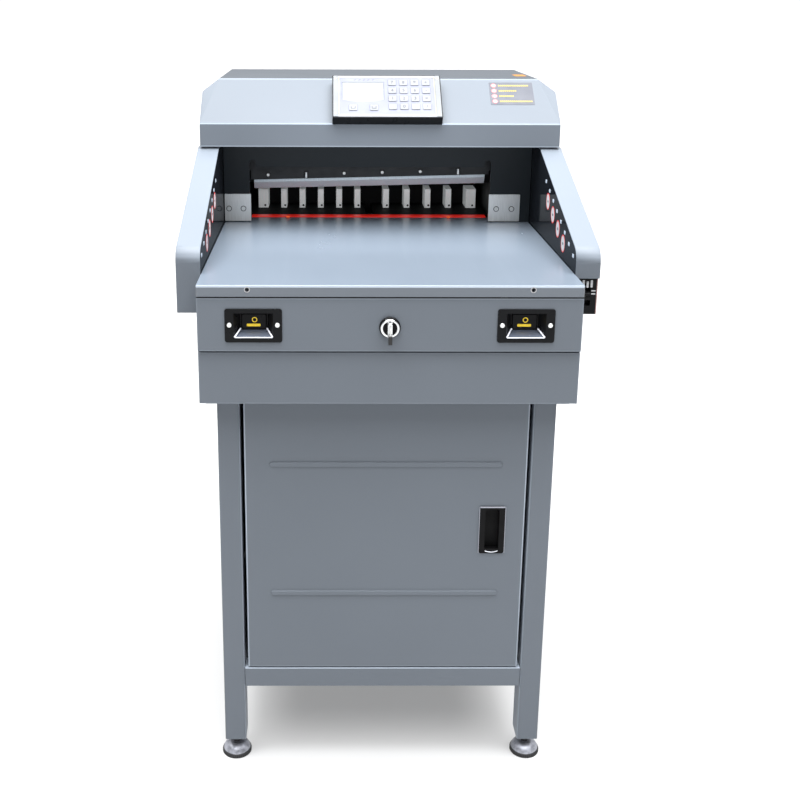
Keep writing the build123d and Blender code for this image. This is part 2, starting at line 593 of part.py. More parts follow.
# ---- buttons and switches ----------------------------------------------------------------------------
def button_bezel(centre):
    """Moulded bezel with a funnel, a hole for the button at its back and a sloped ledge below."""
    front = PANEL_FRONT - 2.2
    plate = soft_block((centre - BEZEL_W / 2, centre + BEZEL_W / 2), (front, PANEL_FRONT),
                       (BUTTON_Z - BEZEL_H / 2, BUTTON_Z + BEZEL_H / 2), 4.0, Axis.Y)
    plate = fillet(plate.edges().group_by(Axis.Y)[0], 0.8)
    cup = block((centre - 36.5, centre + 36.5), (PANEL_FRONT - 0.5, PANEL_FRONT + 26),
                (BUTTON_Z - 20.5, BUTTON_Z + 20.5))
    mouth = Plane(origin=(centre, front - 0.01, BUTTON_Z), x_dir=(1, 0, 0), z_dir=(0, 1, 0))
    wide = mouth * Rectangle(60, 39)
    deep = mouth.offset(18) * Pos(0, -BUTTON_RISE, 0) * Rectangle(42, 28)
    funnel = loft([wide, deep])
    half_w, half_h, middle = BUTTON_W / 2 + 0.6, BUTTON_H / 2 + 0.6, BUTTON_Z + BUTTON_RISE
    hole = block((centre - half_w, centre + half_w), (PANEL_FRONT + 10, PANEL_FRONT + 30),
                 (middle - half_h, middle + half_h))
    shape = plate + cup - funnel - hole
    for s in (-1, 1):
        place = (centre + s * BEZEL_SCREW_X, BUTTON_Z + BEZEL_SCREW_RISE)
        shape -= rod("y", 2.2, (front - 1, PANEL_FRONT), place)
    return shape


def cut_button(centre):
    y = (PANEL_FRONT + 13.5, PANEL_FRONT + 29.5)
    middle = BUTTON_Z + BUTTON_RISE
    z = (middle - BUTTON_H / 2, middle + BUTTON_H / 2)
    button = soft_block((centre - BUTTON_W / 2, centre + BUTTON_W / 2), y, z, 3.0, Axis.Y)
    return fillet(button.edges().group_by(Axis.Y)[0], 1.5)


def switch_collar():
    """Round collar on the panel, and the barrel's housing behind it."""
    ring = rod("y", 16.2, (COLLAR_FRONT, PANEL_FRONT), (0, KEY_Z))
    ring += rod("y", 11.9, (PANEL_FRONT - 1, PANEL_FRONT + 26), (0, KEY_Z))
    ring = chamfer(ring.edges().group_by(Axis.Y)[0], 1.2)
    return ring - rod("y", 8.5 + FIT, (COLLAR_FRONT - 1, PANEL_FRONT + 22), (0, KEY_Z))


def switch_rotor():
    """Chrome face and barrel of the key switch, with a raised grip across it."""
    face = COLLAR_FRONT
    barrel = rod("y", 8.5, (face - 0.4, PANEL_FRONT + 21.5), (0, KEY_Z))
    disc = rod("y", 14.4, (face - 4, face - 0.4), (0, KEY_Z))
    disc = fillet(disc.edges().group_by(Axis.Y)[0], 1.2)
    disc -= rod("y", 11.2, (face - 5, face - 2.4), (0, KEY_Z))
    grip = soft_block((-3.4, 3.4), (face - 10.5, face - 2), (KEY_Z - 10, KEY_Z + 10), 3.0, Axis.Y)
    grip = fillet(grip.edges().group_by(Axis.Y)[0], 0.8)
    slot = block((-1.4, 1.4), (face - 11, face - 5), (KEY_Z - 5, KEY_Z + 5))
    return barrel + disc + grip - slot


def switch_key():
    """Key with its blade in the grip, a narrow neck, and its bow hanging below the grip."""
    face = COLLAR_FRONT
    blade = block((-1.2, 1.2), (face - 14, face - 5.3), (KEY_Z - 4.8, KEY_Z + 4.8))
    neck = block((-1.2, 1.2), (face - 14, face - 11), (KEY_Z - 12, KEY_Z + 4.8))
    bow = soft_block((-2.8, 2.8), (face - 19, face - 10.8), (KEY_Z - 22, KEY_Z - 7.5), 2.2, Axis.X)
    return blade + neck + bow


def power_switch():
    """Breaker block in the notch under the right wing, with a small toggle."""
    x = (WING_IN + 0.7, WING_OUT - 0.6)
    z = (SWITCH_LOW, NOTCH_TOP - 1.5)
    front = WING_FRONT + 8
    housing = soft_block(x, (front, NOTCH_BACK - 0.5), z, 1.5, Axis.Y)
    middle = (x[0] + x[1]) / 2
    housing -= block((middle - 8, middle + 8), (front - 1, front + 14), (800, 830))
    save("power_switch_housing", housing)
    toggle = rod("x", 8.0, (middle - 7.5, middle + 7.5), (front + 5, 815))
    lever = block((middle - 5, middle + 5), (front - 8, front + 2), (812.5, 817.5))
    lever = fillet(lever.edges().filter_by(Axis.X).group_by(Axis.Y)[0], 2.0)
    toggle += Pos(0, front + 5, 815) * Rot(-25, 0, 0) * Pos(0, -front - 5, -815) * lever
    save("power_switch_toggle", toggle)


def operator_controls():
    save("button_bezels", group(button_bezel(-BUTTON_X), button_bezel(BUTTON_X)))
    save("left_cut_button", cut_button(-BUTTON_X))
    save("right_cut_button", cut_button(BUTTON_X))
    save("switch_collar", switch_collar())
    save("switch_rotor", switch_rotor())
    save("switch_key", switch_key())
    power_switch()


# ---- knife and its drive ----------------------------------------------------------------------------
def edge_height(x):
    return EDGE_LEFT + (EDGE_RIGHT - EDGE_LEFT) * (x - BLADE_LEFT) / (BLADE_RIGHT - BLADE_LEFT)


def slanted(x, y, low, high):
    """A bar that follows the cutting edge's slant, between two heights above it."""
    points = [
        (x[0], edge_height(x[0]) + low),
        (x[1], edge_height(x[1]) + low),
        (x[1], edge_height(x[1]) + high),
        (x[0], edge_height(x[0]) + high),
    ]
    return profile_y(points, y)


def bolt_places():
    return [BOLT_FIRST + BOLT_PITCH * k for k in range(BOLT_COUNT)]


def blade():
    """Knife blade, ground to a bevel on its front face."""
    length = BLADE_RIGHT - BLADE_LEFT
    body = slanted((BLADE_LEFT, BLADE_RIGHT), (BLADE_FRONT, BLADE_BACK), 0, BLADE_HEIGHT)
    angle = math.degrees(math.atan2(EDGE_RIGHT - EDGE_LEFT, length))
    half = length / 2 + 5
    wedge = profile_x([
        (BLADE_FRONT - 1, -1),
        (BLADE_BACK - EDGE_LAND, -1),
        (BLADE_BACK - EDGE_LAND, 0),
        (BLADE_FRONT, BEVEL_HEIGHT),
        (BLADE_FRONT - 1, BEVEL_HEIGHT),
    ], (-half, half))
    middle = (BLADE_LEFT + BLADE_RIGHT) / 2
    return body - Pos(middle, 0, edge_height(middle)) * Rot(0, -angle, 0) * wedge


def knife_beam():
    """Beam in front of the blade, with tongues in the frames' slots and the pull rod's pin."""
    top = BEAM_ABOVE_EDGE + BEAM_HEIGHT
    beam_x, beam_y = (BLADE_LEFT - 4, BLADE_RIGHT + 4), (BEAM_FRONT, BLADE_FRONT - 0.05)
    beam = slanted(beam_x, beam_y, BEAM_ABOVE_EDGE, top)
    for x in bolt_places():
        place = (x, edge_height(x) + BOLT_ABOVE_EDGE)
        beam -= rod("y", BOLT_SHANK, (BEAM_FRONT - 2, BLADE_FRONT + 1), place)
    for x in STUD_PLACES:
        z = edge_height(x) + BOLT_ABOVE_EDGE
        beam -= rod("z", BOLT_HEAD, (z - 7, z + 4), (x, BEAM_FRONT - BOLT_HEAD + 0.5))
    tongue_z = (KNIFE_PIN_Z - 20, KNIFE_PIN_Z + 26)
    left = block((FRAME_LEFT[0] + 8, BLADE_LEFT), (BEAM_FRONT, BLADE_FRONT - 0.05), tongue_z)
    right = block((BLADE_RIGHT, 260), (BEAM_FRONT, BLADE_FRONT - 0.05), tongue_z)
    pin = rod("x", 7.0, (258, 263.5), (CRANK_Y, KNIFE_PIN_Z))
    return beam + left + right + pin


def knife_bolts():
    """Small cap screws through the beam; the second and the last have an upright stud for a head."""
    bolts = []
    for x in bolt_places():
        z = edge_height(x) + BOLT_ABOVE_EDGE
        head = rod("y", BOLT_HEAD, (BEAM_FRONT - 5, BEAM_FRONT), (x, z))
        head = fillet(head.edges().group_by(Axis.Y)[0], 0.8)
        head -= Pos(x, BEAM_FRONT - 5.5, z) * Rot(-90, 0, 0) * extrude(RegularPolygon(1.9, 6), 3)
        if x in STUD_PLACES:
            head = rod("z", BOLT_HEAD, (z - 7, z + 4), (x, BEAM_FRONT - BOLT_HEAD + 0.5))
            head = fillet(head.edges().group_by(Axis.Z)[-1], 1.0)
        shank = rod("y", BOLT_SHANK, (BEAM_FRONT - 1, BLADE_FRONT - 0.05), (x, z))
        bolts.append(head + shank)
    return group(*bolts)


def crank():
    """Crank disc with its pin and the shaft that runs through the right frame into the gearbox."""
    disc = rod("x", 48.0, (248, 259), (CRANK_Y, CRANK_Z))
    disc = chamfer(disc.edges(), 1.0)
    pin = rod("x", 8.0, (258, 277), (CRANK_Y, CRANK_Z + CRANK_RADIUS))
    return disc + pin + rod("x", 15.0, (170, 249), (CRANK_Y, CRANK_Z))


def pull_rod():
    """Flat rod from the crank pin up to the knife beam."""
    x = (265, 275)
    low, high = CRANK_Z + CRANK_RADIUS, KNIFE_PIN_Z
    bar = rod("x", 17.0, x, (CRANK_Y, low)) + rod("x", 13.0, x, (CRANK_Y, high))
    bar += block(x, (CRANK_Y - 9, CRANK_Y + 9), (low, high))
    return bar - rod("x", 8.0 + FIT, (x[0] - 1, x[1] + 1), (CRANK_Y, low))


def gearbox():
    box = block((128, 224), (14, 114), (APRON_LOW + 4, 782))
    box = fillet(box.edges().filter_by(Axis.X), 12)
    flange = rod("x", 36.0, (120, 129), (CRANK_Y, CRANK_Z))
    return box + flange - rod("x", 15 + FIT, (168, 226), (CRANK_Y, CRANK_Z))


def drive_motor():
    """Finned motor, its end bell and the terminal box on its side."""
    body = rod("x", MOTOR_RADIUS, (-92, 119), (CRANK_Y, CRANK_Z))
    for k in range(MOTOR_RIBS):
        x = -70 + 15 * k
        body += rod("x", MOTOR_RADIUS + 3, (x, x + 3), (CRANK_Y, CRANK_Z))
    bell = rod("x", 48.0, (-112, -92), (CRANK_Y, CRANK_Z))
    bell = fillet(bell.edges().group_by(Axis.X)[0], 10)
    terminal = block((0, 70), (-14, 20), (CRANK_Z - 26, CRANK_Z + 26))
    feet = block((-60, 90), (30, 98), (APRON_LOW + 1, CRANK_Z - 45))
    return body + bell + terminal + feet


def knife_head():
    save("blade", blade())
    save("knife_beam", knife_beam())
    save("knife_bolts", knife_bolts())
    save("crank", crank())
    save("pull_rod", pull_rod())
    save("gearbox", gearbox())
    save("drive_motor", drive_motor())


# ---- clamp ----------------------------------------------------------------------------------------------
def finger_places():
    """Middle and width of each finger of the back gauge."""
    ends = [(x, END_FINGER_WIDTH) for x in END_FINGERS]
    return ends + [(x, FINGER_WIDTH) for x in LEFT_FINGERS + RIGHT_FINGERS]


def clamp_bar():
    """Pressing bar behind the blade; its foot is slotted so that the gauge's fingers pass between."""
    bar = block((CLAMP_LEFT, CLAMP_RIGHT), CLAMP_Y, (CLAMP_LOW, CLAMP_HIGH))
    foot_plate = block((-238, 209), (CLAMP_Y[0], CLAMP_FOOT_BACK), (CLAMP_LOW, CLAMP_LOW + 12))
    notch_y = (CLAMP_Y[1], CLAMP_FOOT_BACK + 1)
    for x, width in finger_places():
        half = width / 2 + 1.5
        foot_plate -= block((x - half, x + half), notch_y, (CLAMP_LOW - 1, CLAMP_LOW + 13))
    boss_y = (CLAMP_Y[1] - 1, CLAMP_FOOT_BACK - 4)
    boss = block((SCREW_X - 18, SCREW_X + 18), boss_y, (CLAMP_LOW, CLAMP_HIGH))
    bore = rod("z", CLAMP_SCREW_RADIUS + FIT, (CLAMP_LOW + 6, CLAMP_HIGH + 1), (SCREW_X, CLAMP_SCREW_Y))
    return bar + foot_plate + boss - bore


def clamp_screw():
    """Spindle with a worm wheel on top, which turns in the cross beam."""
    at = (SCREW_X, CLAMP_SCREW_Y)
    spindle = rod("z", CLAMP_SCREW_RADIUS, (CLAMP_LOW + 8, CROSS_Z[1] + 14), at)
    for k in range(6):
        z = CROSS_Z[0] - 8 - 5 * k
        spindle -= rod("z", 12, (z, z + 1.2), at) - rod("z", CLAMP_SCREW_RADIUS - 0.8, (z, z + 1.2), at)
    wheel = rod("z", 24, (CROSS_Z[1] + 2, CROSS_Z[1] + 14), at)
    return spindle + chamfer(wheel.edges(), 1.0)


def clamp():
    save("clamp_bar", clamp_bar())
    save("clamp_screw", clamp_screw())
    beam = block((FRAME_LEFT[1], FRAME_RIGHT[0]), (92, 150), CROSS_Z)
    bore = (CROSS_Z[0] - 1, CROSS_Z[1] + 1)
    save("cross_beam", beam - rod("z", CLAMP_SCREW_RADIUS + FIT, bore, (SCREW_X, CLAMP_SCREW_Y)))
    motor = rod("x", 20, (SCREW_X + 34, SCREW_X + 150), (CLAMP_SCREW_Y, CROSS_Z[1] + 26))
    motor += block((SCREW_X + 30, SCREW_X + 62), (96, 146), (CROSS_Z[1], CROSS_Z[1] + 48))
    save("clamp_motor", motor)


# ---- back gauge -----------------------------------------------------------------------------------
def gauge_fingers():
    """Bright bars that the paper stands against, each with a small hole near its foot."""
    bars = []
    for x, width in finger_places():
        bar = block((x - width / 2, x + width / 2), (FINGER_FRONT, FINGER_BACK), (FINGER_LOW, FINGER_HIGH))
        bar = chamfer(bar.edges().filter_by(Axis.Z).group_by(Axis.Y)[0], 0.6)
        hole = rod("y", 2.2, (FINGER_FRONT - 1, FINGER_FRONT + 12), (x + width * 0.18, FINGER_LOW + 5))
        bars.append(bar - hole)
    return group(*bars)


def back_gauge():
    """Carriage behind the fingers, with a neck through the table's slot and the nut below it."""
    body = block((-237, 208), (FINGER_BACK, GAUGE_BACK), (FINGER_LOW + 0.5, FINGER_HIGH + 8))
    neck = block((GAUGE_SCREW_X - 6, GAUGE_SCREW_X + 6), (FINGER_BACK + 2, GAUGE_BACK - 2),
                 (GAUGE_SCREW_Z, FINGER_LOW + 2))
    wide = ROD_OFFSET + ROD_RADIUS + 8
    nut = block((GAUGE_SCREW_X - wide, GAUGE_SCREW_X + wide), (FINGER_BACK, GAUGE_BACK),
                (GAUGE_SCREW_Z - 14, GAUGE_SCREW_Z + 14))
    ends = (FINGER_BACK - 1, GAUGE_BACK + 1)
    carriage = body + neck + nut - rod("y", GAUGE_SCREW_RADIUS + FIT, ends, (GAUGE_SCREW_X, GAUGE_SCREW_Z))
    for s in (-1, 1):
        carriage -= rod("y", ROD_RADIUS + FIT, ends, (GAUGE_SCREW_X + s * ROD_OFFSET, GAUGE_SCREW_Z))
    return carriage


def gauge():
    """Carriage, fingers, lead screw, guide rods, their bearers and the motor."""
    save("gauge_fingers", gauge_fingers())
    save("back_gauge", back_gauge())
    front, rear = BEARER_Y
    screw = rod("y", GAUGE_SCREW_RADIUS, (front[0], rear[1] + 4), (GAUGE_SCREW_X, GAUGE_SCREW_Z))
    save("gauge_screw", screw)
    rods = [
        rod("y", ROD_RADIUS, (front[1], rear[0]), (GAUGE_SCREW_X + s * ROD_OFFSET, GAUGE_SCREW_Z))
        for s in (-1, 1)
    ]
    save("gauge_guide_rods", group(*rods))
    wide = ROD_OFFSET + ROD_RADIUS + 10
    bearers = []
    for y in BEARER_Y:
        tall = (GAUGE_SCREW_Z - 16, TABLE_TOP - 13)
        bearer = block((GAUGE_SCREW_X - wide, GAUGE_SCREW_X + wide), y, tall)
        bore = (y[0] - 1, y[1] + 1)
        bearers.append(bearer - rod("y", GAUGE_SCREW_RADIUS + FIT, bore, (GAUGE_SCREW_X, GAUGE_SCREW_Z)))
    save("gauge_bearers", group(*bearers))
    motor = soft_block((GAUGE_SCREW_X - 21, GAUGE_SCREW_X + 21), (rear[1], REAR_END - 5),
                       (REAR_LOW + 5, REAR_LOW + 47), 4, Axis.Y)
    motor -= rod("y", GAUGE_SCREW_RADIUS + FIT, (rear[1] - 1, rear[1] + 5), (GAUGE_SCREW_X, GAUGE_SCREW_Z))
    save("gauge_motor", motor)


# ---- visible screws --------------------------------------------------------------------------------------
def screw_head(x, y, z, radius=3.6, proud=1.6):
    """A round head on a face that looks toward -Y."""
    head = rod("y", radius, (y - proud, y), (x, z))
    return fillet(head.edges().group_by(Axis.Y)[0], 0.7)


def back_screw(x, y, z):
    """A round head on a face that looks toward +Y."""
    head = rod("y", COVER_SCREW, (y, y + 1.4), (x, z))
    return fillet(head.edges().group_by(Axis.Y)[-1], 0.7)


def side_screw(side, x, y, z):
    """A round head on a side face at X = side * x."""
    head = rod("x", COVER_SCREW, sorted((side * x, side * (x + 1.4))), (y, z))
    outer = head.edges().group_by(Axis.X)[-1 if side > 0 else 0]
    return fillet(outer, 0.7)


def cover_screws():
    """Screws that hold the back panel, the hood, the side covers and the rear cover."""
    heads = [back_screw(x, HOOD_BACK, z) for x in (-281, 0, 281) for z in (674, 996)]
    for s in (-1, 1):
        heads += [back_screw(s * 281, HOOD_BACK, z) for z in (760, 900)]
        heads += [side_screw(s, BODY_HALF, y, 690) for y in (-430, -70, 272)]
        heads += [side_screw(s, HOOD_HALF, y, 1022) for y in (-32, 276)]
        heads += [side_screw(s, REAR_HALF, y, z) for y in (320, 540) for z in (800, 870)]
        heads += [side_screw(s, WING_OUT, y, 806) for y in (-290, -60, 270)]
    return heads


def visible_screws():
    heads = cover_screws()
    for s in (-1, 1):
        for dx in (-BEZEL_SCREW_X, BEZEL_SCREW_X):
            heads.append(screw_head(s * BUTTON_X + dx, PANEL_FRONT - 2.2, BUTTON_Z + BEZEL_SCREW_RISE))
    for x in GUARD_SCREWS:
        heads.append(screw_head(x, PLATE_FRONT - 3, GUARD_LOW + 24, 4.2, 1.8))
    save("panel_screws", group(*heads))


stand()
door()
lower_body()
upper_covers()
control()
operator_controls()
knife_head()
clamp()
gauge()
visible_screws()
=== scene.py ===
import json
import math

import bmesh
import bpy
from mathutils import Matrix, Vector


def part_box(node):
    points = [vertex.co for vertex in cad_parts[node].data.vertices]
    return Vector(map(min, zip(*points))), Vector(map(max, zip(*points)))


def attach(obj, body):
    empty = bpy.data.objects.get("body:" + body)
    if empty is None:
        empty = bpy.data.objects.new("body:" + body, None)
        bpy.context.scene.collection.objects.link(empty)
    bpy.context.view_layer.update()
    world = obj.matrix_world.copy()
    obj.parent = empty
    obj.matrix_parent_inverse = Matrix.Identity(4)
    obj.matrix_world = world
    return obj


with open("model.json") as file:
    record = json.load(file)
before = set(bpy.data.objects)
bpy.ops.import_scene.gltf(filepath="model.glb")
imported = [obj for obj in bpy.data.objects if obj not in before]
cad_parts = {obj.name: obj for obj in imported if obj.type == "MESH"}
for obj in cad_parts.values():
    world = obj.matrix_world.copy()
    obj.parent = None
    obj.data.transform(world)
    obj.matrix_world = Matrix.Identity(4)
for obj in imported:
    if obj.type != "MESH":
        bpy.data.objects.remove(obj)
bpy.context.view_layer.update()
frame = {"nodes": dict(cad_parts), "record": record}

MM = 0.001
scene = bpy.context.scene
nodes = frame["nodes"]
MACHINE = "machine"


# ---- materials ------------------------------------------------------------------------------------
class Paint:
    """A node material under construction: a principled shader and short ways to feed it."""

    def __init__(self, name, colour, roughness=0.4, metallic=0.0, specular=0.5):
        self.mat = bpy.data.materials.new(name)
        self.mat.use_nodes = True
        self.tree = self.mat.node_tree
        self.shader = self.tree.nodes["Principled BSDF"]
        self.shader.inputs["Base Color"].default_value = (*colour, 1)
        self.shader.inputs["Roughness"].default_value = roughness
        self.shader.inputs["Metallic"].default_value = metallic
        self.shader.inputs["Specular IOR Level"].default_value = specular
        coordinates = self.add("ShaderNodeTexCoord")
        self.coords, self.normals = coordinates.outputs["Object"], coordinates.outputs["Normal"]

    def add(self, kind, **settings):
        node = self.tree.nodes.new(kind)
        for key, value in settings.items():
            setattr(node, key, value)
        return node

    def link(self, a, b):
        self.tree.links.new(a, b)

    def noise(self, scale, detail=3.0, stretch=(1, 1, 1)):
        mapping = self.add("ShaderNodeMapping")
        mapping.inputs["Scale"].default_value = stretch
        self.link(self.coords, mapping.inputs["Vector"])
        node = self.add("ShaderNodeTexNoise")
        node.inputs["Scale"].default_value = scale
        node.inputs["Detail"].default_value = detail
        self.link(mapping.outputs["Vector"], node.inputs["Vector"])
        return node.outputs["Fac"]

    def height(self, axis="Z"):
        """The point's height above the floor, or its place along another axis."""
        split = self.add("ShaderNodeSeparateXYZ")
        self.link(self.coords, split.inputs[0])
        return split.outputs[axis]

    def between(self, low, high, axis="Z", soft=0.0003):
        """1 between two heights (or two places along another axis), 0 outside them."""
        node = self.add("ShaderNodeMath", operation="MINIMUM")
        self.link(self.ramp(self.height(axis), low - soft, low + soft), node.inputs[0])
        self.link(self.ramp(self.height(axis), high - soft, high + soft, 1.0, 0.0), node.inputs[1])
        return node.outputs[0]

    def ramp(self, source, low, high, start=0.0, end=1.0):
        node = self.add("ShaderNodeMapRange")
        for socket, value in (("From Min", low), ("From Max", high), ("To Min", start), ("To Max", end)):
            node.inputs[socket].default_value = value
        self.link(source, node.inputs["Value"])
        return node.outputs["Result"]

    def facing_up(self):
        """1 where the surface looks up, 0 where it stands upright."""
        split = self.add("ShaderNodeSeparateXYZ")
        self.link(self.normals, split.inputs[0])
        return self.ramp(split.outputs["Z"], 0.1, 0.45)

    def mix(self, factor, first, second):
        node = self.add("ShaderNodeMix", data_type="RGBA")
        for socket, value in ((node.inputs[6], first), (node.inputs[7], second)):
            if isinstance(value, tuple):
                socket.default_value = (*value[:3], 1)
            else:
                self.link(value, socket)
        self.link(factor, node.inputs[0])
        return node.outputs[2]

    def paint(self, source):
        self.link(source, self.shader.inputs["Base Color"])

    def rough(self, source, low, high):
        self.link(self.ramp(source, 0.3, 0.7, low, high), self.shader.inputs["Roughness"])

    def metal(self, source):
        self.link(source, self.shader.inputs["Metallic"])

    def bump(self, source, distance, strength=1.0):
        node = self.add("ShaderNodeBump")
        node.inputs["Distance"].default_value = distance
        node.inputs["Strength"].default_value = strength
        self.link(source, node.inputs["Height"])
        self.link(node.outputs["Normal"], self.shader.inputs["Normal"])


def tone(colour, factor):
    return tuple(min(1.0, c * factor) for c in colour)


def powder_coat(name, colour, roughness=0.42, specular=0.2, bands=(), top_sheen=None):
    """Satin powder coat: fine orange peel, specks, and a very faint drift in colour and gloss.

    Each band is (axis, low, high, factor): the paint between two places is lighter or darker, which paints
    highlights along edges and shade lines along gaps.
    The last argument, if given, paints the upward faces lighter by that factor: painted light from above."""
    p = Paint(name, colour, roughness, specular=specular)
    base = p.mix(p.ramp(p.noise(2.2, 3), 0.35, 0.65), tone(colour, 0.975), tone(colour, 1.025))
    base = p.mix(p.ramp(p.noise(1100, 2), 0.6, 0.75, 0, 0.3), base, tone(colour, 1.3))
    # Bands: painted highlights along edges and painted shade lines along gaps.
    for axis, low, high, factor in bands:
        base = p.mix(p.between(low, high, axis), base, tone(colour, factor))
    # Painted light: the upward faces are made lighter, as if lit from above.
    if top_sheen:
        base = p.mix(p.facing_up(), base, tone(colour, top_sheen))
    p.paint(base)
    p.rough(p.noise(5, 4), roughness - 0.03, roughness + 0.04)
    p.bump(p.noise(650, 3), 0.00006)
    return p.mat


# How much lighter the painted highlight along the table lip's top edge is.
LIP_HIGHLIGHT = 3.4


def smooth_table(name, colour, lip, top):
    """Table paint polished by sliding paper: glossier, with faint rubbing marks along it. Its top colour is
    a lighter copy of the lip's paint, painted light from above.

    Below the top surface the lip keeps the body's own paint, with a painted highlight along its top edge."""
    p = Paint(name, colour, 0.24, specular=0.45)
    base = p.mix(p.ramp(p.noise(2.2, 3), 0.35, 0.65), tone(colour, 0.97), tone(colour, 1.03))
    scuffs = p.ramp(p.noise(60, 6, (1, 0.04, 1)), 0.58, 0.75, 0, 0.1)
    surface = p.mix(scuffs, base, tone(colour, 1.3))
    whole = p.mix(p.ramp(p.height(), top - 0.0022, top - 0.0006), lip, surface)
    # A painted highlight along the lip's top edge.
    p.paint(p.mix(p.between(top - 0.0036, top - 0.0004), whole, tone(lip, LIP_HIGHLIGHT)))
    p.rough(p.noise(7, 4, (1, 0.3, 1)), 0.2, 0.28)
    p.bump(p.noise(500, 3), 0.00002)
    return p.mat


def gloss_black(name, colour):
    """Smoked acrylic: black under a thin gloss, so that it mirrors its surroundings only faintly."""
    p = Paint(name, colour, 0.4, specular=0.0)
    p.shader.inputs["Coat Weight"].default_value = 0.28
    p.shader.inputs["Coat Roughness"].default_value = 0.07
    p.rough(p.noise(14, 5), 0.35, 0.45)
    p.paint(p.mix(p.ramp(p.noise(700, 1), 0.7, 0.8, 0, 0.3), colour, tone(colour, 3)))
    return p.mat


def moulded(name, colour, roughness=0.5, grain=1.0, specular=0.5):
    """Moulded plastic with a fine spark-eroded texture."""
    p = Paint(name, colour, roughness, specular=specular)
    p.paint(p.mix(p.ramp(p.noise(25, 4), 0.35, 0.65), tone(colour, 0.93), tone(colour, 1.07)))
    p.rough(p.noise(60, 4), roughness - 0.05, roughness + 0.06)
    p.bump(p.noise(1500, 2), 0.00005 * grain)
    return p.mat


def printed(name, colour, roughness=0.4):
    """Screen print or vinyl: even colour with a slight mottle."""
    return moulded(name, colour, roughness, 0.2)


def brushed(name, colour, roughness=0.3, along=(1, 60, 60), metallic=1.0, glow=0.0):
    """Brushed metal: fine scratches along one axis and slow clouding.

    A little glow is painted light: it lifts bright metal that sits deep in the machine, where little light
    reaches."""
    p = Paint(name, colour, roughness, metallic)
    p.shader.inputs["Emission Color"].default_value = (*colour, 1)
    p.shader.inputs["Emission Strength"].default_value = glow
    lines = p.noise(28, 5, along)
    base = p.mix(p.ramp(lines, 0.3, 0.7), tone(colour, 0.86), tone(colour, 1.12))
    p.paint(p.mix(p.ramp(p.noise(7, 3), 0.35, 0.65, 0, 0.3), base, tone(colour, 0.85)))
    p.rough(lines, roughness - 0.06, roughness + 0.1)
    p.bump(lines, 0.00002)
    return p.mat


def glowing(name, colour, strength):
    """Bright plastic given a little glow of its own: painted light, which lifts it above what the lamps
    give it.
    """
    p = Paint(name, colour, 0.35)
    p.paint(p.mix(p.ramp(p.noise(25, 4), 0.35, 0.65), tone(colour, 0.9), tone(colour, 1.1)))
    p.rough(p.noise(60, 4), 0.3, 0.42)
    p.shader.inputs["Emission Color"].default_value = (*colour, 1)
    p.shader.inputs["Emission Strength"].default_value = strength
    return p.mat


def chromed(name):
    p = Paint(name, (0.7, 0.71, 0.72), 0.1, 1.0)
    p.rough(p.noise(30, 5), 0.08, 0.16)
    p.paint(p.mix(p.ramp(p.noise(12, 3), 0.4, 0.6), (0.64, 0.65, 0.67), (0.74, 0.75, 0.76)))
    return p.mat


def casting(name, colour, roughness=0.55):
    """Painted cast iron: coarse skin with a few pits."""
    p = Paint(name, colour, roughness)
    p.paint(p.mix(p.ramp(p.noise(14, 5), 0.35, 0.65), tone(colour, 0.8), tone(colour, 1.2)))
    p.rough(p.noise(40, 4), roughness - 0.08, roughness + 0.1)
    p.bump(p.noise(260, 4), 0.0002)
    return p.mat


def two_tone(name, upper, lower, height, roughness, metals, top=None, mottle=0.1):
    """Two finishes that meet at a height, and again at `top` if that is given.

    Metals are the upper and the lower finish's metallic values; mottle is the upper one's contrast."""
    p = Paint(name, upper, roughness)
    above = p.ramp(p.height(), height - 0.0001, height + 0.0001)
    if top:
        below = p.ramp(p.height(), top - 0.0001, top + 0.0001, 1, 0)
        both = p.add("ShaderNodeMath", operation="MINIMUM")
        p.link(above, both.inputs[0])
        p.link(below, both.inputs[1])
        above = both.outputs[0]
    grain = p.ramp(p.noise(120, 4), 0.35, 0.65)
    low = p.mix(grain, tone(lower, 0.85), tone(lower, 1.2))
    high = p.mix(grain, tone(upper, 1 - mottle), tone(upper, 1 + mottle))
    p.paint(p.mix(above, low, high))
    p.metal(p.ramp(above, 0, 1, metals[1], metals[0]))
    p.rough(p.noise(50, 4), roughness - 0.06, roughness + 0.1)
    p.bump(p.noise(700, 3), 0.00008)
    return p.mat


def lit_display(name):
    """Backlit glass with a faint pixel grid."""
    p = Paint(name, (0.175, 0.185, 0.18), 0.3, specular=0.2)
    grid = p.add("ShaderNodeTexBrick")
    grid.inputs["Scale"].default_value = 420
    grid.inputs["Mortar Size"].default_value = 0.04
    grid.inputs["Color1"].default_value = (0.178, 0.19, 0.184, 1)
    grid.inputs["Color2"].default_value = (0.168, 0.18, 0.174, 1)
    grid.inputs["Mortar"].default_value = (0.16, 0.172, 0.17, 1)
    p.link(p.coords, grid.inputs["Vector"])
    p.paint(grid.outputs["Color"])
    p.shader.inputs["Emission Color"].default_value = (0.92, 0.97, 0.96, 1)
    p.shader.inputs["Emission Strength"].default_value = 0.12
    p.rough(p.noise(30, 3), 0.22, 0.28)
    return p.mat


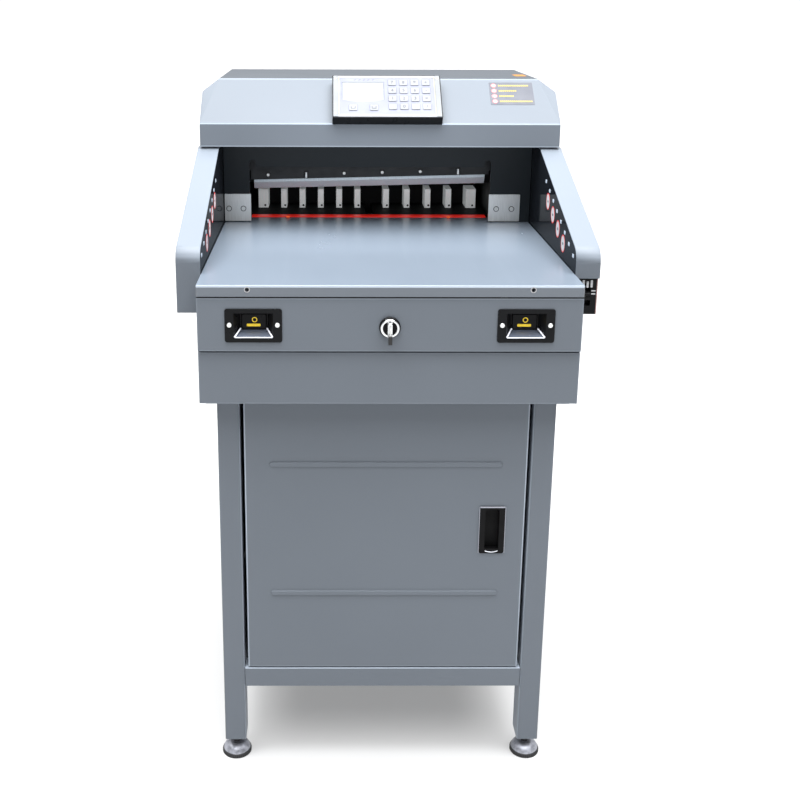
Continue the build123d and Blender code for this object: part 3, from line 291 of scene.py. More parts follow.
GREY = (0.118, 0.134, 0.156)
CHARCOAL = (0.012, 0.016, 0.020)
BLACK = (0.006, 0.0063, 0.0072)
# How much lighter the wings' upward faces are painted: painted light from above.
WING_TOP_SHEEN = 1.36
FOOT_RIM_TOP, FOOT_CAP_TOP = 0.0078, 0.0205
KEY_BOW_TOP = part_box("switch_key")[0].z + 0.0145
MATS = {
    "body_paint": powder_coat("grey_powder_coat", GREY),
    "dark_paint": powder_coat("charcoal_powder_coat", CHARCOAL, 0.36),
    # The table's top is a lighter copy of the body's grey: painted light from above.
    "table_paint": smooth_table("table_paint", (0.136, 0.162, 0.197), GREY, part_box("table_plate")[1].z),
    "black_gloss": gloss_black("smoked_acrylic", (0.009, 0.0105, 0.0135)),
    "lens": moulded("frosted_lens", (0.55, 0.62, 0.72), 0.3, 0.3),
    "stainless": brushed("stainless_brushed", (0.86, 0.87, 0.86), 0.36, (60, 60, 1.5)),
    "machined_steel": brushed("machined_steel", (0.45, 0.45, 0.46), 0.35, (60, 60, 2)),
    "blade_steel": brushed("ground_steel", (0.66, 0.73, 0.79), 0.4, (60, 60, 2), 0.3),
    "cast_iron": casting("painted_casting", (0.011, 0.012, 0.014)),
    "black_plastic": moulded("black_moulding", BLACK, 0.3, specular=0.1),
    # The red stick glows a little: painted light.
    "red_plastic": glowing("red_stick", (0.9, 0.02, 0.012), 0.25),
    "overlay": printed("printed_overlay", (0.114, 0.122, 0.19), 0.45),
    "keys": moulded("pale_keys", (0.18, 0.186, 0.2), 0.45, 0.5, 0.3),
    "display": lit_display("display_glass"),
    "chrome": chromed("polished_chrome"),
    # The feet: zinc cap between the two heights, black rubber rim below it, and black above it, painted
    # shade over the nut and stud under the leg.
    "zinc": two_tone("zinc_foot", (0.3, 0.31, 0.35), (0.012, 0.012, 0.014), FOOT_RIM_TOP, 0.42,
                     (0.6, 0.0), FOOT_CAP_TOP, 0.32),
    # The bright bars glow a little: painted light deep in the opening.
    "bright_bar": brushed("bright_bar", (0.9, 0.96, 0.97), 0.4, (60, 60, 2), 0.3, 0.13),
}
EXTRA = {
    "key": two_tone("key_steel_and_bow", (0.7, 0.7, 0.7), BLACK, KEY_BOW_TOP, 0.35, (1.0, 0.0)),
    "white": printed("white_vinyl", (0.55, 0.56, 0.58)),
    "pale_print": printed("pale_print", (0.2, 0.206, 0.22)),
    "red": printed("red_print", (0.7, 0.03, 0.025)),
    "yellow": printed("yellow_print", (0.95, 0.66, 0.012)),
    "label_yellow": printed("label_yellow", (0.27, 0.2, 0.01)),
    "pale_yellow": printed("pale_yellow", (0.3, 0.28, 0.12)),
    "edge_line": printed("pale_edge_line", (0.36, 0.2, 0.19)),
    "orange": printed("orange_print", (0.4, 0.15, 0.012)),
    "plate": printed("label_plate", (0.026, 0.03, 0.048), 0.4),
    "ink": printed("grey_ink", (0.022, 0.024, 0.036)),
    "key_rim": printed("key_rim", (0.075, 0.08, 0.115)),
    # The orange knobs glow a little: painted light.
    "knob": glowing("orange_knob", (0.95, 0.12, 0.03), 0.35),
    "trim": moulded("pale_trim", (0.158, 0.166, 0.176), 0.4, 0.3, 0.3),
    # Ledge, edge and pull_edge are painted highlights and painted reflection, for where the bezels' funnels
    # and the door pull catch the light.
    "ledge": moulded("ledge_painted_sheen", (0.1, 0.115, 0.15), 0.22, 0.3),
    "edge": moulded("painted_highlight_edge", (0.75, 0.77, 0.84), 0.25, 0.2),
    "pull_edge": moulded("pull_edge", (0.3, 0.31, 0.36), 0.3, 0.3),
    "rubber": moulded("foot_rubber", (0.02, 0.02, 0.021), 0.7, 2.0),
    "dark": moulded("dark_bore", (0.004, 0.004, 0.005), 0.6, specular=0.1),
    # Near-black with little gloss, for parts that sit in shade: partly their own dark finish, partly
    # painted shade.
    "unlit": moulded("shade_black", (0.0035, 0.0035, 0.004), 0.6, specular=0.12),
}
HOOD_LOW, HOOD_TOP = (corner.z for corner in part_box("hood"))
HOOD_BEND = HOOD_LOW + 0.0428
# Painted highlights along the hood's lower hem, just below its top edge and at the bend above the front
# band; the flat top face is painted darker.
HOOD_BANDS = (
    ("Z", HOOD_LOW - 0.001, HOOD_LOW + 0.0022, 1.7),
    ("Z", HOOD_TOP - 0.0006, HOOD_TOP + 0.001, 0.5),
    ("Z", HOOD_TOP - 0.0026, HOOD_TOP - 0.0006, 1.5),
    ("Z", HOOD_BEND - 0.0024, HOOD_BEND - 0.0002, 3.6),
    ("Z", HOOD_BEND - 0.0002, HOOD_BEND + 0.0012, 1.3),
)


def edge_highlights(node, top=0.0, bottom=0.0, side=0.0, width=0.0014):
    """Painted highlights: lighter paint along a node's edges, where they catch the light."""
    low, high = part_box(node)
    bands = []
    if top:
        bands.append(("Z", high.z - width, high.z + 0.001, top))
    if bottom:
        bands.append(("Z", low.z - 0.001, low.z + width, bottom))
    if side:
        bands += [("X", low.x - 0.001, low.x + width, side), ("X", high.x - width, high.x + 0.001, side)]
    return bands


def leg_highlights():
    """Painted highlights: lighter paint along the legs' inner front edges."""
    low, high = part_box("stand_rails")
    width, factor = 0.0022, 1.7
    return [("X", low.x - width, low.x + 0.001, factor), ("X", high.x - 0.001, high.x + width, factor)]


# Painted highlights along the door's bottom and side edges.
DOOR_BANDS = edge_highlights("cabinet_door", 0.0, 1.2, 2.6, 0.0022)
PANEL_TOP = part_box("front_panel")[1].z
# Painted highlights along the panel's bottom and sides and just below its top edge, and a painted shadow
# line along the top edge, under the table's lip.
PANEL_BANDS = edge_highlights("front_panel", 0.0, 1.3, 1.3) + [
    ("Z", PANEL_TOP - 0.0028, PANEL_TOP - 0.0012, 1.6),
    ("Z", PANEL_TOP - 0.0012, PANEL_TOP + 0.001, 0.1),
]
NODE_MATERIAL = {
    "switch_key": EXTRA["key"],
    "hood": powder_coat("hood_powder_coat", GREY, bands=HOOD_BANDS),
    "front_panel": powder_coat("panel_powder_coat", GREY, bands=PANEL_BANDS),
    # Painted highlights along the apron's edges, and over the rails' top face.
    "front_apron": powder_coat("apron_powder_coat", GREY, bands=edge_highlights("front_apron", 1.3, 1.3, 1.3)),
    "stand_rails": powder_coat("rail_powder_coat", GREY, bands=edge_highlights("stand_rails", 3.2)),
    "cabinet_door": powder_coat("door_powder_coat", GREY, bands=DOOR_BANDS),
    # The wings' upward faces are painted lighter: painted light from above.
    "left_wing_cover": powder_coat("left_wing_powder_coat", GREY, top_sheen=WING_TOP_SHEEN),
    "right_wing_cover": powder_coat("right_wing_powder_coat", GREY, top_sheen=WING_TOP_SHEEN),
    "legs": powder_coat("leg_powder_coat", GREY, bands=leg_highlights()),
    # Hinge pins, door pull, rear table, clamp bar and back gauge take the near-black: partly their own
    # finish, partly painted shade.
    "door_hinge_pins": EXTRA["unlit"],
    "door_handle": EXTRA["unlit"],
    "rear_table": EXTRA["unlit"],
    "clamp_bar": EXTRA["unlit"],
    "back_gauge": EXTRA["unlit"],
}


# ---- CAD nodes ------------------------------------------------------------------------------------
def soften(obj, width, segments=2):
    """Welds the split vertices and rounds the sharp edges, so that they catch the light."""
    weld = obj.modifiers.new("weld", "WELD")
    weld.merge_threshold = 1e-6
    bevel = obj.modifiers.new("edge", "BEVEL")
    bevel.width = width
    bevel.segments = segments
    bevel.limit_method = "ANGLE"
    bevel.angle_limit = math.radians(40)
    bevel.harden_normals = True


SOFT_EDGES = {
    0.0009: ("hood", "left_wing_cover", "right_wing_cover", "front_apron", "cabinet_door",
             "rear_cover", "legs", "stand_rails", "body_side_covers", "back_panel", "cabinet_side_panels"),
    0.0005: ("table_plate", "control_box", "button_bezels", "door_handle", "power_switch_housing",
             "guard_plates", "gauge_fingers", "blade", "switch_collar", "base_plate"),
}


def finish_nodes():
    slot_of = {s["node"]: s["material_slot"] for s in frame["record"]["subparts"]}
    for name, obj in nodes.items():
        obj.data.materials.clear()
        obj.data.materials.append(NODE_MATERIAL.get(name, MATS[slot_of[name]]))
    for width, names in SOFT_EDGES.items():
        for name in names:
            soften(nodes[name], width)


# ---- mesh helpers ---------------------------------------------------------------------------------
def mm(*values):
    """Several millimetre values as metres."""
    return tuple(v * MM for v in values)


def make_piece(name, bm, body, material, bevel=0.0, smooth=False):
    """Turns a bmesh into a piece that rides a body, with its edges rounded if asked."""
    bmesh.ops.recalc_face_normals(bm, faces=bm.faces)
    mesh = bpy.data.meshes.new(name)
    bm.to_mesh(mesh)
    bm.free()
    mesh.materials.append(material)
    obj = bpy.data.objects.new(name, mesh)
    scene.collection.objects.link(obj)
    if smooth:
        mesh.shade_smooth()
    if bevel:
        mod = obj.modifiers.new("edge", "BEVEL")
        mod.width = bevel
        mod.segments = 2
        mod.limit_method = "ANGLE"
        mod.angle_limit = math.radians(40)
    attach(obj, body)
    return obj


def add_prism(bm, outline, depth, place):
    """An outline of (u, v) points given a depth along local +w; place maps (u, v, w) to the frame."""
    low = [bm.verts.new(place(u, v, 0.0)) for u, v in outline]
    high = [bm.verts.new(place(u, v, depth)) for u, v in outline]
    bm.faces.new(low)
    bm.faces.new(list(reversed(high)))
    for i in range(len(low)):
        j = (i + 1) % len(low)
        bm.faces.new((low[i], high[i], high[j], low[j]))


def add_ring(bm, centre, outer, inner, depth, place, steps=36):
    """A flat ring with square edges."""
    loops = []
    for radius, w in ((outer, 0.0), (outer, depth), (inner, depth), (inner, 0.0)):
        turn = [2 * math.pi * k / steps for k in range(steps)]
        loops.append([
            bm.verts.new(place(centre[0] + radius * math.cos(t), centre[1] + radius * math.sin(t), w))
            for t in turn
        ])
    for a, b in zip(loops, loops[1:] + loops[:1]):
        for i in range(steps):
            j = (i + 1) % steps
            bm.faces.new((a[i], a[j], b[j], b[i]))


def circle(centre, radius, steps=32):
    turn = [2 * math.pi * k / steps for k in range(steps)]
    return [(centre[0] + radius * math.cos(t), centre[1] + radius * math.sin(t)) for t in turn]


def rectangle(low, high, radius=0.0, steps=4):
    """A rectangle from its two corners, with rounded corners if a radius is given."""
    if not radius:
        return [(low[0], low[1]), (high[0], low[1]), (high[0], high[1]), (low[0], high[1])]
    points = []
    corners = ((high[0], high[1], 0), (low[0], high[1], 1), (low[0], low[1], 2), (high[0], low[1], 3))
    for x, y, quarter in corners:
        cx = x - math.copysign(radius, x - (low[0] + high[0]) / 2)
        cy = y - math.copysign(radius, y - (low[1] + high[1]) / 2)
        for k in range(steps + 1):
            t = math.pi / 2 * (quarter + k / steps)
            points.append((cx + radius * math.cos(t), cy + radius * math.sin(t)))
    return points


def add_slab(bm, low, high, depth, place, radius=0.0):
    """A flat slab from two (u, v) corners, with rounded corners if a radius is given."""
    add_prism(bm, rectangle(low, high, radius), depth, place)


def lathe(bm, profile, centre, axis, steps=32):
    """Turns a profile of (radius, height) points about an axis through a centre."""
    side = axis.orthogonal().normalized()
    other = axis.cross(side)
    loops = []
    for radius, height in profile:
        loop = []
        for k in range(steps):
            t = 2 * math.pi * k / steps
            out = side * math.cos(t) + other * math.sin(t)
            loop.append(bm.verts.new(centre + axis * height + out * radius))
        loops.append(loop)
    for a, b in zip(loops, loops[1:]):
        for i in range(steps):
            j = (i + 1) % steps
            bm.faces.new((a[i], a[j], b[j], b[i]))
    bm.faces.new(list(reversed(loops[0])))
    bm.faces.new(loops[-1])


def islands(node):
    """The box of each separate solid in a CAD node, as (low, high) corners."""
    bm = bmesh.new()
    bm.from_mesh(nodes[node].data)
    bmesh.ops.remove_doubles(bm, verts=bm.verts, dist=1e-6)
    seen, found = set(), []
    for start in bm.verts:
        if start in seen:
            continue
        stack, part = [start], []
        seen.add(start)
        while stack:
            vert = stack.pop()
            part.append(vert.co.copy())
            for edge in vert.link_edges:
                other = edge.other_vert(vert)
                if other not in seen:
                    seen.add(other)
                    stack.append(other)
        found.append((Vector(map(min, zip(*part))), Vector(map(max, zip(*part)))))
    bm.free()
    return found


def middle(box):
    return (box[0] + box[1]) / 2


def front_place(y):
    """Places (u, v) on a face that looks toward -Y at a given y; depth comes out of it."""
    return lambda u, v, w: Vector((u, y - w, v))


def top_place(z):
    """Places (u, v) on a face that looks up at a given height."""
    return lambda u, v, w: Vector((u, v, z + w))


def inner_place(side, x):
    """Places (u, v) on a wing's inner face, at x from the middle; depth comes toward the table."""
    return lambda u, v, w: Vector((side * (x - w), u, v))


def add_hexahedron(bm, base, top):
    """A solid between two four-cornered faces."""
    low = [bm.verts.new(p) for p in base]
    high = [bm.verts.new(p) for p in top]
    bm.faces.new(low)
    bm.faces.new(list(reversed(high)))
    for i in range(4):
        j = (i + 1) % 4
        bm.faces.new((low[i], high[i], high[j], low[j]))


def add_bar(bm, start, end, radius, steps=10):
    """A round bar between two points."""
    axis = end - start
    lathe(bm, [(radius, 0.0), (radius, axis.length)], start, axis.normalized(), steps)


# ---- control panel and hood -----------------------------------------------------------------------
SLOPE = math.radians(40.02)
SLOPE_NORMAL = Vector((0, -math.sin(SLOPE), math.cos(SLOPE)))
FACE_THICK = 1.4 * MM
FACE_ABOVE_HOOD = 18.8 * MM
KEY_RISE = 1.1 * MM
KEY_MARKS = ("7", "8", "9", "+", "4", "5", "6", "-", "1", "2", "3", "=", "", "0", ".", "/")
KEY_MARK_SIZE = 9.5 * MM
KEY_RIM_HALF = mm(8.4, 8.2)
TRIM_WIDE, BORDER_WIDE, BORDER_LINE = mm(9.0, 5.2, 0.5)
LABEL_LEFT, LABEL_RIGHT, LABEL_LOW, LABEL_HIGH = mm(204, 284.6, 48.8, 106)
LABEL_BARS = (0.93, 0.55, 0.45, 1.0)
TAB_LOW, TAB_HIGH = mm(266, 46), mm(288, 90)


def face_length():
    """The control face's length up the slope."""
    low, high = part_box("control_face")
    return (high.y - low.y - FACE_THICK * math.sin(SLOPE)) / math.cos(SLOPE)


def slope_place(out):
    """Places (x, along) on the control face, or the hood's slope below it, `out` off the face."""
    low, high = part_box("control_face")
    y0, z0 = low.y, high.z - face_length() * math.sin(SLOPE)

    def place(u, v, w):
        off = out + w
        y = y0 + v * math.cos(SLOPE) - off * math.sin(SLOPE)
        return Vector((u, y, z0 + v * math.sin(SLOPE) + off * math.cos(SLOPE)))
    return place


def along_slope(point):
    """How far a point lies up the slope from the control face's lower edge."""
    base = slope_place(0.0)(0.0, 0.0, 0.0)
    step = point - base
    return step.y * math.cos(SLOPE) + step.z * math.sin(SLOPE)


def glyph(text, size, depth, place, bm):
    """Adds a character of the built-in font, centred on the place's origin, to a bmesh."""
    curve = bpy.data.curves.new("glyph", "FONT")
    curve.body = text
    curve.size = size
    curve.extrude = depth / 2
    curve.offset = 0.1 * MM
    curve.align_x = "CENTER"
    curve.align_y = "CENTER"
    obj = bpy.data.objects.new("glyph", curve)
    scene.collection.objects.link(obj)
    bpy.context.view_layer.update()
    mesh = bpy.data.meshes.new_from_object(obj)
    for vert in mesh.vertices:
        u, v, w = vert.co
        vert.co = place(u, v, w + depth / 2)
    bm.from_mesh(mesh)
    bpy.data.objects.remove(obj)
    bpy.data.curves.remove(curve)
    bpy.data.meshes.remove(mesh)


def key_order(box):
    """Keys sort by row from the top, then from left to right."""
    return -round(along_slope(middle(box)) / (5 * MM)), middle(box).x


def key_marks():
    """A mark on each key: number keys in rows of four, and a short bracket on the two soft keys."""
    keys = sorted(islands("keypad_keys"), key=key_order)
    pad = [b for b in keys if middle(b).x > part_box("display_window")[1].x]
    soft = [b for b in keys if b not in pad]
    marks, rims = bmesh.new(), bmesh.new()
    on_key, on_face = slope_place(KEY_RISE + 0.05 * MM), slope_place(0.03 * MM)
    depth = 0.15 * MM
    for box, mark in zip(pad, KEY_MARKS):
        x, up = middle(box).x, along_slope(middle(box))
        if mark:
            glyph(mark, KEY_MARK_SIZE, depth, lambda u, v, w: on_key(x + u, up + v, w), marks)
    wide, tall, bar = mm(4.2, 3, 1.3)
    bracket = [(-wide, tall), (-wide, -tall), (wide, -tall), (wide, tall), (wide - bar, tall),
               (wide - bar, -tall + bar), (-wide + bar, -tall + bar), (-wide + bar, tall)]
    for box in soft:
        x, up = middle(box).x, along_slope(middle(box))
        add_prism(marks, [(x + u, up + v) for u, v in bracket], depth, on_key)
    make_piece("key_marks", marks, MACHINE, EXTRA["ink"])
    half_x, half_v = KEY_RIM_HALF
    for box in keys:
        x, up = middle(box).x, along_slope(middle(box))
        add_slab(rims, (x - half_x, up - half_v), (x + half_x, up + half_v), 0.12 * MM, on_face, 2.6 * MM)
    make_piece("key_rims", rims, MACHINE, EXTRA["key_rim"])


def control_trims():
    """Bright side trims and thin borders round the control face, with their small screws."""
    low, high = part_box("control_face")
    length = face_length()
    left, right = low.x + TRIM_WIDE, high.x - TRIM_WIDE
    place = slope_place(0.05 * MM)
    bm = bmesh.new()
    for x0, x1 in ((low.x, left), (right, high.x)):
        add_slab(bm, (x0, 0.0), (x1, length), 0.9 * MM, place, 1.5 * MM)
    make_piece("control_side_trims", bm, MACHINE, EXTRA["trim"], 0.3 * MM)
    bm = bmesh.new()
    edge = 0.2 * MM
    for v0, v1 in ((edge, BORDER_WIDE), (length - BORDER_WIDE, length - edge)):
        add_slab(bm, (left, v0), (right, v1), 0.25 * MM, place)
    make_piece("control_border_print", bm, MACHINE, EXTRA["pale_print"])
    bm = bmesh.new()
    line, inset, depth = BORDER_LINE, 1.2 * MM, 0.32 * MM
    for v in (BORDER_WIDE, length - BORDER_WIDE):
        add_slab(bm, (left, v - line), (right, v + line), depth, place)
    for x in (left + inset, right - inset):
        add_slab(bm, (x - line, BORDER_WIDE), (x + line, length - BORDER_WIDE), depth, place)
    make_piece("control_border_line", bm, MACHINE, EXTRA["pale_yellow"])
    bm = bmesh.new()
    screw = [mm(1.9, 0), mm(1.9, 0.4), mm(1.3, 0.8), mm(0.5, 0.85)]
    for x in (low.x + TRIM_WIDE / 2, high.x - TRIM_WIDE / 2):
        for v in (7 * MM, length - 7 * MM):
            lathe(bm, screw, slope_place(0.9 * MM)(x, v, 0), SLOPE_NORMAL, 20)
    make_piece("control_trim_screws", bm, MACHINE, MATS["stainless"], smooth=True)


def display_prints():
    """Five slanted marks above the display, and a thin line down each of its sides."""
    place = slope_place(0.05 * MM)
    low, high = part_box("display_window")
    foot, top = along_slope(Vector((0, low.y, low.z))), along_slope(Vector((0, high.y, high.z)))
    bm = bmesh.new()
    slanted = [mm(0, 2.2), mm(1.6, 2.2), mm(4.6, 5.4), mm(3, 5.4)]
    for k in range(5):
        x = low.x + (high.x - low.x) * (0.28 + 0.11 * k)
        add_prism(bm, [(x + u, top + v) for u, v in slanted], 0.1 * MM, place)
    make_piece("control_print_marks", bm, MACHINE, EXTRA["ink"])
    bm = bmesh.new()
    for x in (low.x - 1.6 * MM, high.x + 0.6 * MM):
        add_slab(bm, (x, foot + 8 * MM), (x + 1.0 * MM, top), 0.1 * MM, place)
    make_piece("display_side_lines", bm, MACHINE, EXTRA["key_rim"])


def hood_label():
    """Plate on the slope with four plain discs and four rows of blocks, and a small tab on the top."""
    on_hood, on_plate = slope_place(-FACE_ABOVE_HOOD), slope_place(-FACE_ABOVE_HOOD + 0.4 * MM)
    bm = bmesh.new()
    add_slab(bm, (LABEL_LEFT, LABEL_LOW), (LABEL_RIGHT, LABEL_HIGH), 0.4 * MM, on_hood, 1.5 * MM)
    make_piece("hood_label_plate", bm, MACHINE, EXTRA["plate"])
    discs, rings, bars = bmesh.new(), bmesh.new(), bmesh.new()
    start, longest = LABEL_LEFT + 17 * MM, LABEL_RIGHT - LABEL_LEFT - 20 * MM
    half = 1.9 * MM
    for k, share in enumerate(LABEL_BARS):
        v = LABEL_HIGH - (LABEL_HIGH - LABEL_LOW) * (0.145 + 0.235 * k)
        centre = (LABEL_LEFT + 8.5 * MM, v)
        add_prism(discs, circle(centre, 4.3 * MM), 0.12 * MM, on_plate)
        add_ring(rings, centre, 4.9 * MM, 4.1 * MM, 0.15 * MM, on_plate)
        count = max(3, round(longest * share / (3.6 * MM)))
        pitch = longest * share / count
        for n in range(count):
            x = start + pitch * n
            add_slab(bars, (x, v - half), (x + pitch * 0.8, v + half), 0.12 * MM, on_plate)
    make_piece("hood_label_discs", discs, MACHINE, EXTRA["pale_print"])
    make_piece("hood_label_rings", rings, MACHINE, EXTRA["red"])
    make_piece("hood_label_bars", bars, MACHINE, EXTRA["label_yellow"])
    bm = bmesh.new()
    add_slab(bm, TAB_LOW, TAB_HIGH, 0.3 * MM, top_place(HOOD_TOP), 2 * MM)
    make_piece("hood_top_tab", bm, MACHINE, EXTRA["orange"])


# ---- wings ----------------------------------------------------------------------------------------
STICKER_FIRST = Vector((0, -0.1985, 0.9325))
STICKER_STEP = Vector((0, -0.0463, -0.0151))
STICKER_COUNT = 4
STICKER_RADIUS, STICKER_RIM, STICKER_RIM_INNER = mm(13.6, 14.6, 12.9)


def wing_stickers():
    """Four plain round stickers on the inner face of each wing, in a row below the lenses."""
    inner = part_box("light_barrier_panels")[1].x - 3 * MM
    mark_y, mark_z = mm(4, 2)
    for side, name in ((-1, "left"), (1, "right")):
        discs, rings, marks = bmesh.new(), bmesh.new(), bmesh.new()
        place = inner_place(side, inner)
        for k in range(STICKER_COUNT):
            centre = STICKER_FIRST + STICKER_STEP * k
            y, z = centre.y, centre.z
            add_prism(discs, circle((y, z), STICKER_RADIUS), 0.2 * MM, place)
            add_ring(rings, (y, z), STICKER_RIM, STICKER_RIM_INNER, 0.3 * MM, place)
            add_slab(marks, (y - mark_y, z - mark_z), (y + mark_y, z + mark_z), 0.3 * MM, place, 1.5 * MM)
        make_piece(name + "_wing_sticker_discs", discs, MACHINE, EXTRA["white"])
        make_piece(name + "_wing_sticker_rings", rings, MACHINE, EXTRA["red"])
        make_piece(name + "_wing_sticker_marks", marks, MACHINE, EXTRA["ink"])


def power_switch_print():
    """Plain white marks and light lines on the front of the breaker block, clear of its toggle."""
    low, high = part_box("power_switch_housing")
    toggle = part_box("power_switch_toggle")
    place = front_place(low.y)
    x0, x1 = low.x + 2 * MM, high.x - 3 * MM
    bm = bmesh.new()
    foot, wide = high.z - 15 * MM, 3.4 * MM
    for share, tall in zip((0.14, 0.34, 0.54, 0.74), mm(9, 12, 10, 12)):
        x = x0 + (x1 - x0) * share
        add_slab(bm, (x, foot), (x + wide, foot + tall), 0.2 * MM, place, 0.8 * MM)
    for z in (high.z - 21 * MM, high.z - 26 * MM):
        for start, end in ((x0, toggle[0].x - 1.5 * MM), (toggle[1].x + 1.5 * MM, x1)):
            add_slab(bm, (start, z), (end, z + 1.6 * MM), 0.3 * MM, place)
    x = x0 + (x1 - x0) * 0.05
    add_slab(bm, (x, low.z + 1.6 * MM), (x + 3 * MM, low.z + 5 * MM), 0.2 * MM, place)
    make_piece("power_switch_print", bm, MACHINE, EXTRA["white"])
    bm = bmesh.new()
    add_slab(bm, (high.x - 1.4 * MM, low.z + 1 * MM), (high.x - 0.4 * MM, high.z - 1 * MM), 0.3 * MM, place)
    make_piece("power_switch_edge_line", bm, MACHINE, EXTRA["edge_line"])


# ---- cut buttons and key switch -------------------------------------------------------------------
FUNNEL_FRONT_HALF, FUNNEL_DEEP_HALF, FUNNEL_DEPTH = mm(30, 21, 18)
FUNNEL_FOOT_FRONT, FUNNEL_FOOT_DEEP = mm(19.5, 16.5)


def button_details(side, name):
    """Painted highlights in the bezel's funnel, bright ribs along its edges and a ledge whose lighter
    colour is painted reflection on its floor; and a plain yellow mark on the button.
    """
    bezel = [b for b in islands("button_bezels") if middle(b).x * side > 0][0]
    front, centre = bezel[0].y, middle(bezel).x
    low_front, low_deep = middle(bezel).z - FUNNEL_FOOT_FRONT, middle(bezel).z - FUNNEL_FOOT_DEEP
    wide, deep = FUNNEL_FRONT_HALF, FUNNEL_DEEP_HALF
    bm = bmesh.new()
    inset, near, far = 0.4 * MM, front + 0.2 * MM, front + FUNNEL_DEPTH - 0.5 * MM
    base = [
        Vector((centre - wide + inset, near, low_front + inset)),
        Vector((centre + wide - inset, near, low_front + inset)),
        Vector((centre + deep - inset, far, low_deep + inset)),
        Vector((centre - deep + inset, far, low_deep + inset)),
    ]
    add_hexahedron(bm, base, [p + Vector((0, 0, rise)) for p, rise in zip(base, mm(0.6, 0.6, 5.2, 5.2))])
    make_piece(name + "_bezel_ledge", bm, MACHINE, EXTRA["ledge"], 0.3 * MM)
    bm = bmesh.new()
    for s in (-1, 1):
        start = Vector((centre + s * (wide - 1.2 * MM), front - 0.3 * MM, low_front + 1.6 * MM))
        end = Vector((centre + s * (deep - 1.0 * MM), front + FUNNEL_DEPTH - 5 * MM, low_deep + 9.0 * MM))
        add_bar(bm, start, end, 1.25 * MM)
    left, right = (
        Vector((centre + s * (wide - 1.5 * MM), front - 0.2 * MM, low_front + 1.1 * MM)) for s in (-1, 1))
    add_bar(bm, left, right, 0.8 * MM)
    make_piece(name + "_bezel_ribs", bm, MACHINE, EXTRA["edge"], 0.25 * MM)
    bm = bmesh.new()
    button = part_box(name + "_cut_button")
    place = front_place(button[0].y)
    x, z = middle(button).x + 1.0 * MM, middle(button).z + 2.8 * MM
    add_ring(bm, (x, z), 4.2 * MM, 2.8 * MM, 0.2 * MM, place, 28)
    add_slab(bm, (x - 12 * MM, z - 10.5 * MM), (x + 9 * MM, z - 6.3 * MM), 0.2 * MM, place, 1.2 * MM)
    make_piece(name + "_button_mark", bm, name + "_button", EXTRA["yellow"])


def key_switch_disc():
    """Black disc sunk in the chrome face, cut in two halves beside the grip."""
    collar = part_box("switch_collar")
    x, z = middle(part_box("switch_rotor")).x, collar[0].z / 2 + collar[1].z / 2
    bm = bmesh.new()
    gap, radius = mm(3.6, 11.0)
    limit = math.acos(gap / radius)
    arc = [-limit + 2 * limit * k / 24 for k in range(25)]
    for side in (-1, 1):
        outline = [(x + side * radius * math.cos(t), z + radius * math.sin(t)) for t in arc]
        add_prism(bm, outline, 0.7 * MM, front_place(collar[0].y - 2.4 * MM))
    make_piece("key_switch_inlay", bm, "key_switch", EXTRA["dark"])


# ---- table, knife and gauge -----------------------------------------------------------------------
LIP_HOLES, LIP_HOLE_DOWN = mm(-215.2, 214.8), 7 * MM
KNOB_PLACES = mm(-172.6, 141.9)
KNOB_PROFILE = (mm(1.2, 0), mm(3.4, 0.4), mm(4.2, 1.6), mm(3.8, 2.8), mm(2.0, 3.6), mm(0.4, 3.8))


def lip_inserts():
    """Bright threaded inserts round the two holes in the table's lip."""
    low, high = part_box("table_plate")
    bm = bmesh.new()
    for x in LIP_HOLES:
        add_ring(bm, (x, high.z - LIP_HOLE_DOWN), 4.5 * MM, 3.2 * MM, 0.35 * MM, front_place(low.y), 28)
    make_piece("table_lip_inserts", bm, MACHINE, MATS["machined_steel"], 0.12 * MM)


def guard_screw_shadows():
    """Dark rings round the screws of the stainless plates: painted shadow."""
    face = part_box("guard_plates")[0].y
    bm = bmesh.new()
    for low, high in islands("panel_screws"):
        if abs(high.y - face) < 0.3 * MM and high.x - low.x > 8 * MM:
            at = (middle((low, high)).x, middle((low, high)).z)
            add_ring(bm, at, 5.3 * MM, 4.25 * MM, 0.4 * MM, front_place(face), 28)
    make_piece("guard_screw_shadows", bm, MACHINE, EXTRA["dark"])


def stick_knobs():
    """Two small orange knobs at the front of the cutting stick."""
    low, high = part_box("cutting_stick")
    bm = bmesh.new()
    for x in KNOB_PLACES:
        centre = Vector((x, low.y - 4.6 * MM, high.z - 1.0 * MM))
        lathe(bm, KNOB_PROFILE, centre, Vector((0, 0, 1)), 24)
    make_piece("stick_knobs", bm, MACHINE, EXTRA["knob"], smooth=True)


def finger_bores():
    """Dark discs in the small bores near the foot of each gauge finger: painted shade in the holes."""
    bm = bmesh.new()
    for low, high in islands("gauge_fingers"):
        x = (low.x + high.x) / 2 + (high.x - low.x) * 0.18
        centre = Vector((x, low.y + 1.0 * MM, low.z + 5 * MM))
        lathe(bm, [mm(2.15, 0), mm(2.15, 1)], centre, Vector((0, 1, 0)), 20)
    make_piece("gauge_finger_bores", bm, "back_gauge", EXTRA["dark"])


# ---- stand and door -------------------------------------------------------------------------------
FEET = ("front_left_foot", "front_right_foot", "rear_left_foot", "rear_right_foot")
RIB_COUNT = 44
RIB_OUTLINE = (mm(-0.6, -1.1), mm(0.9, -0.6), mm(0.9, 0.6), mm(-0.6, 1.1))


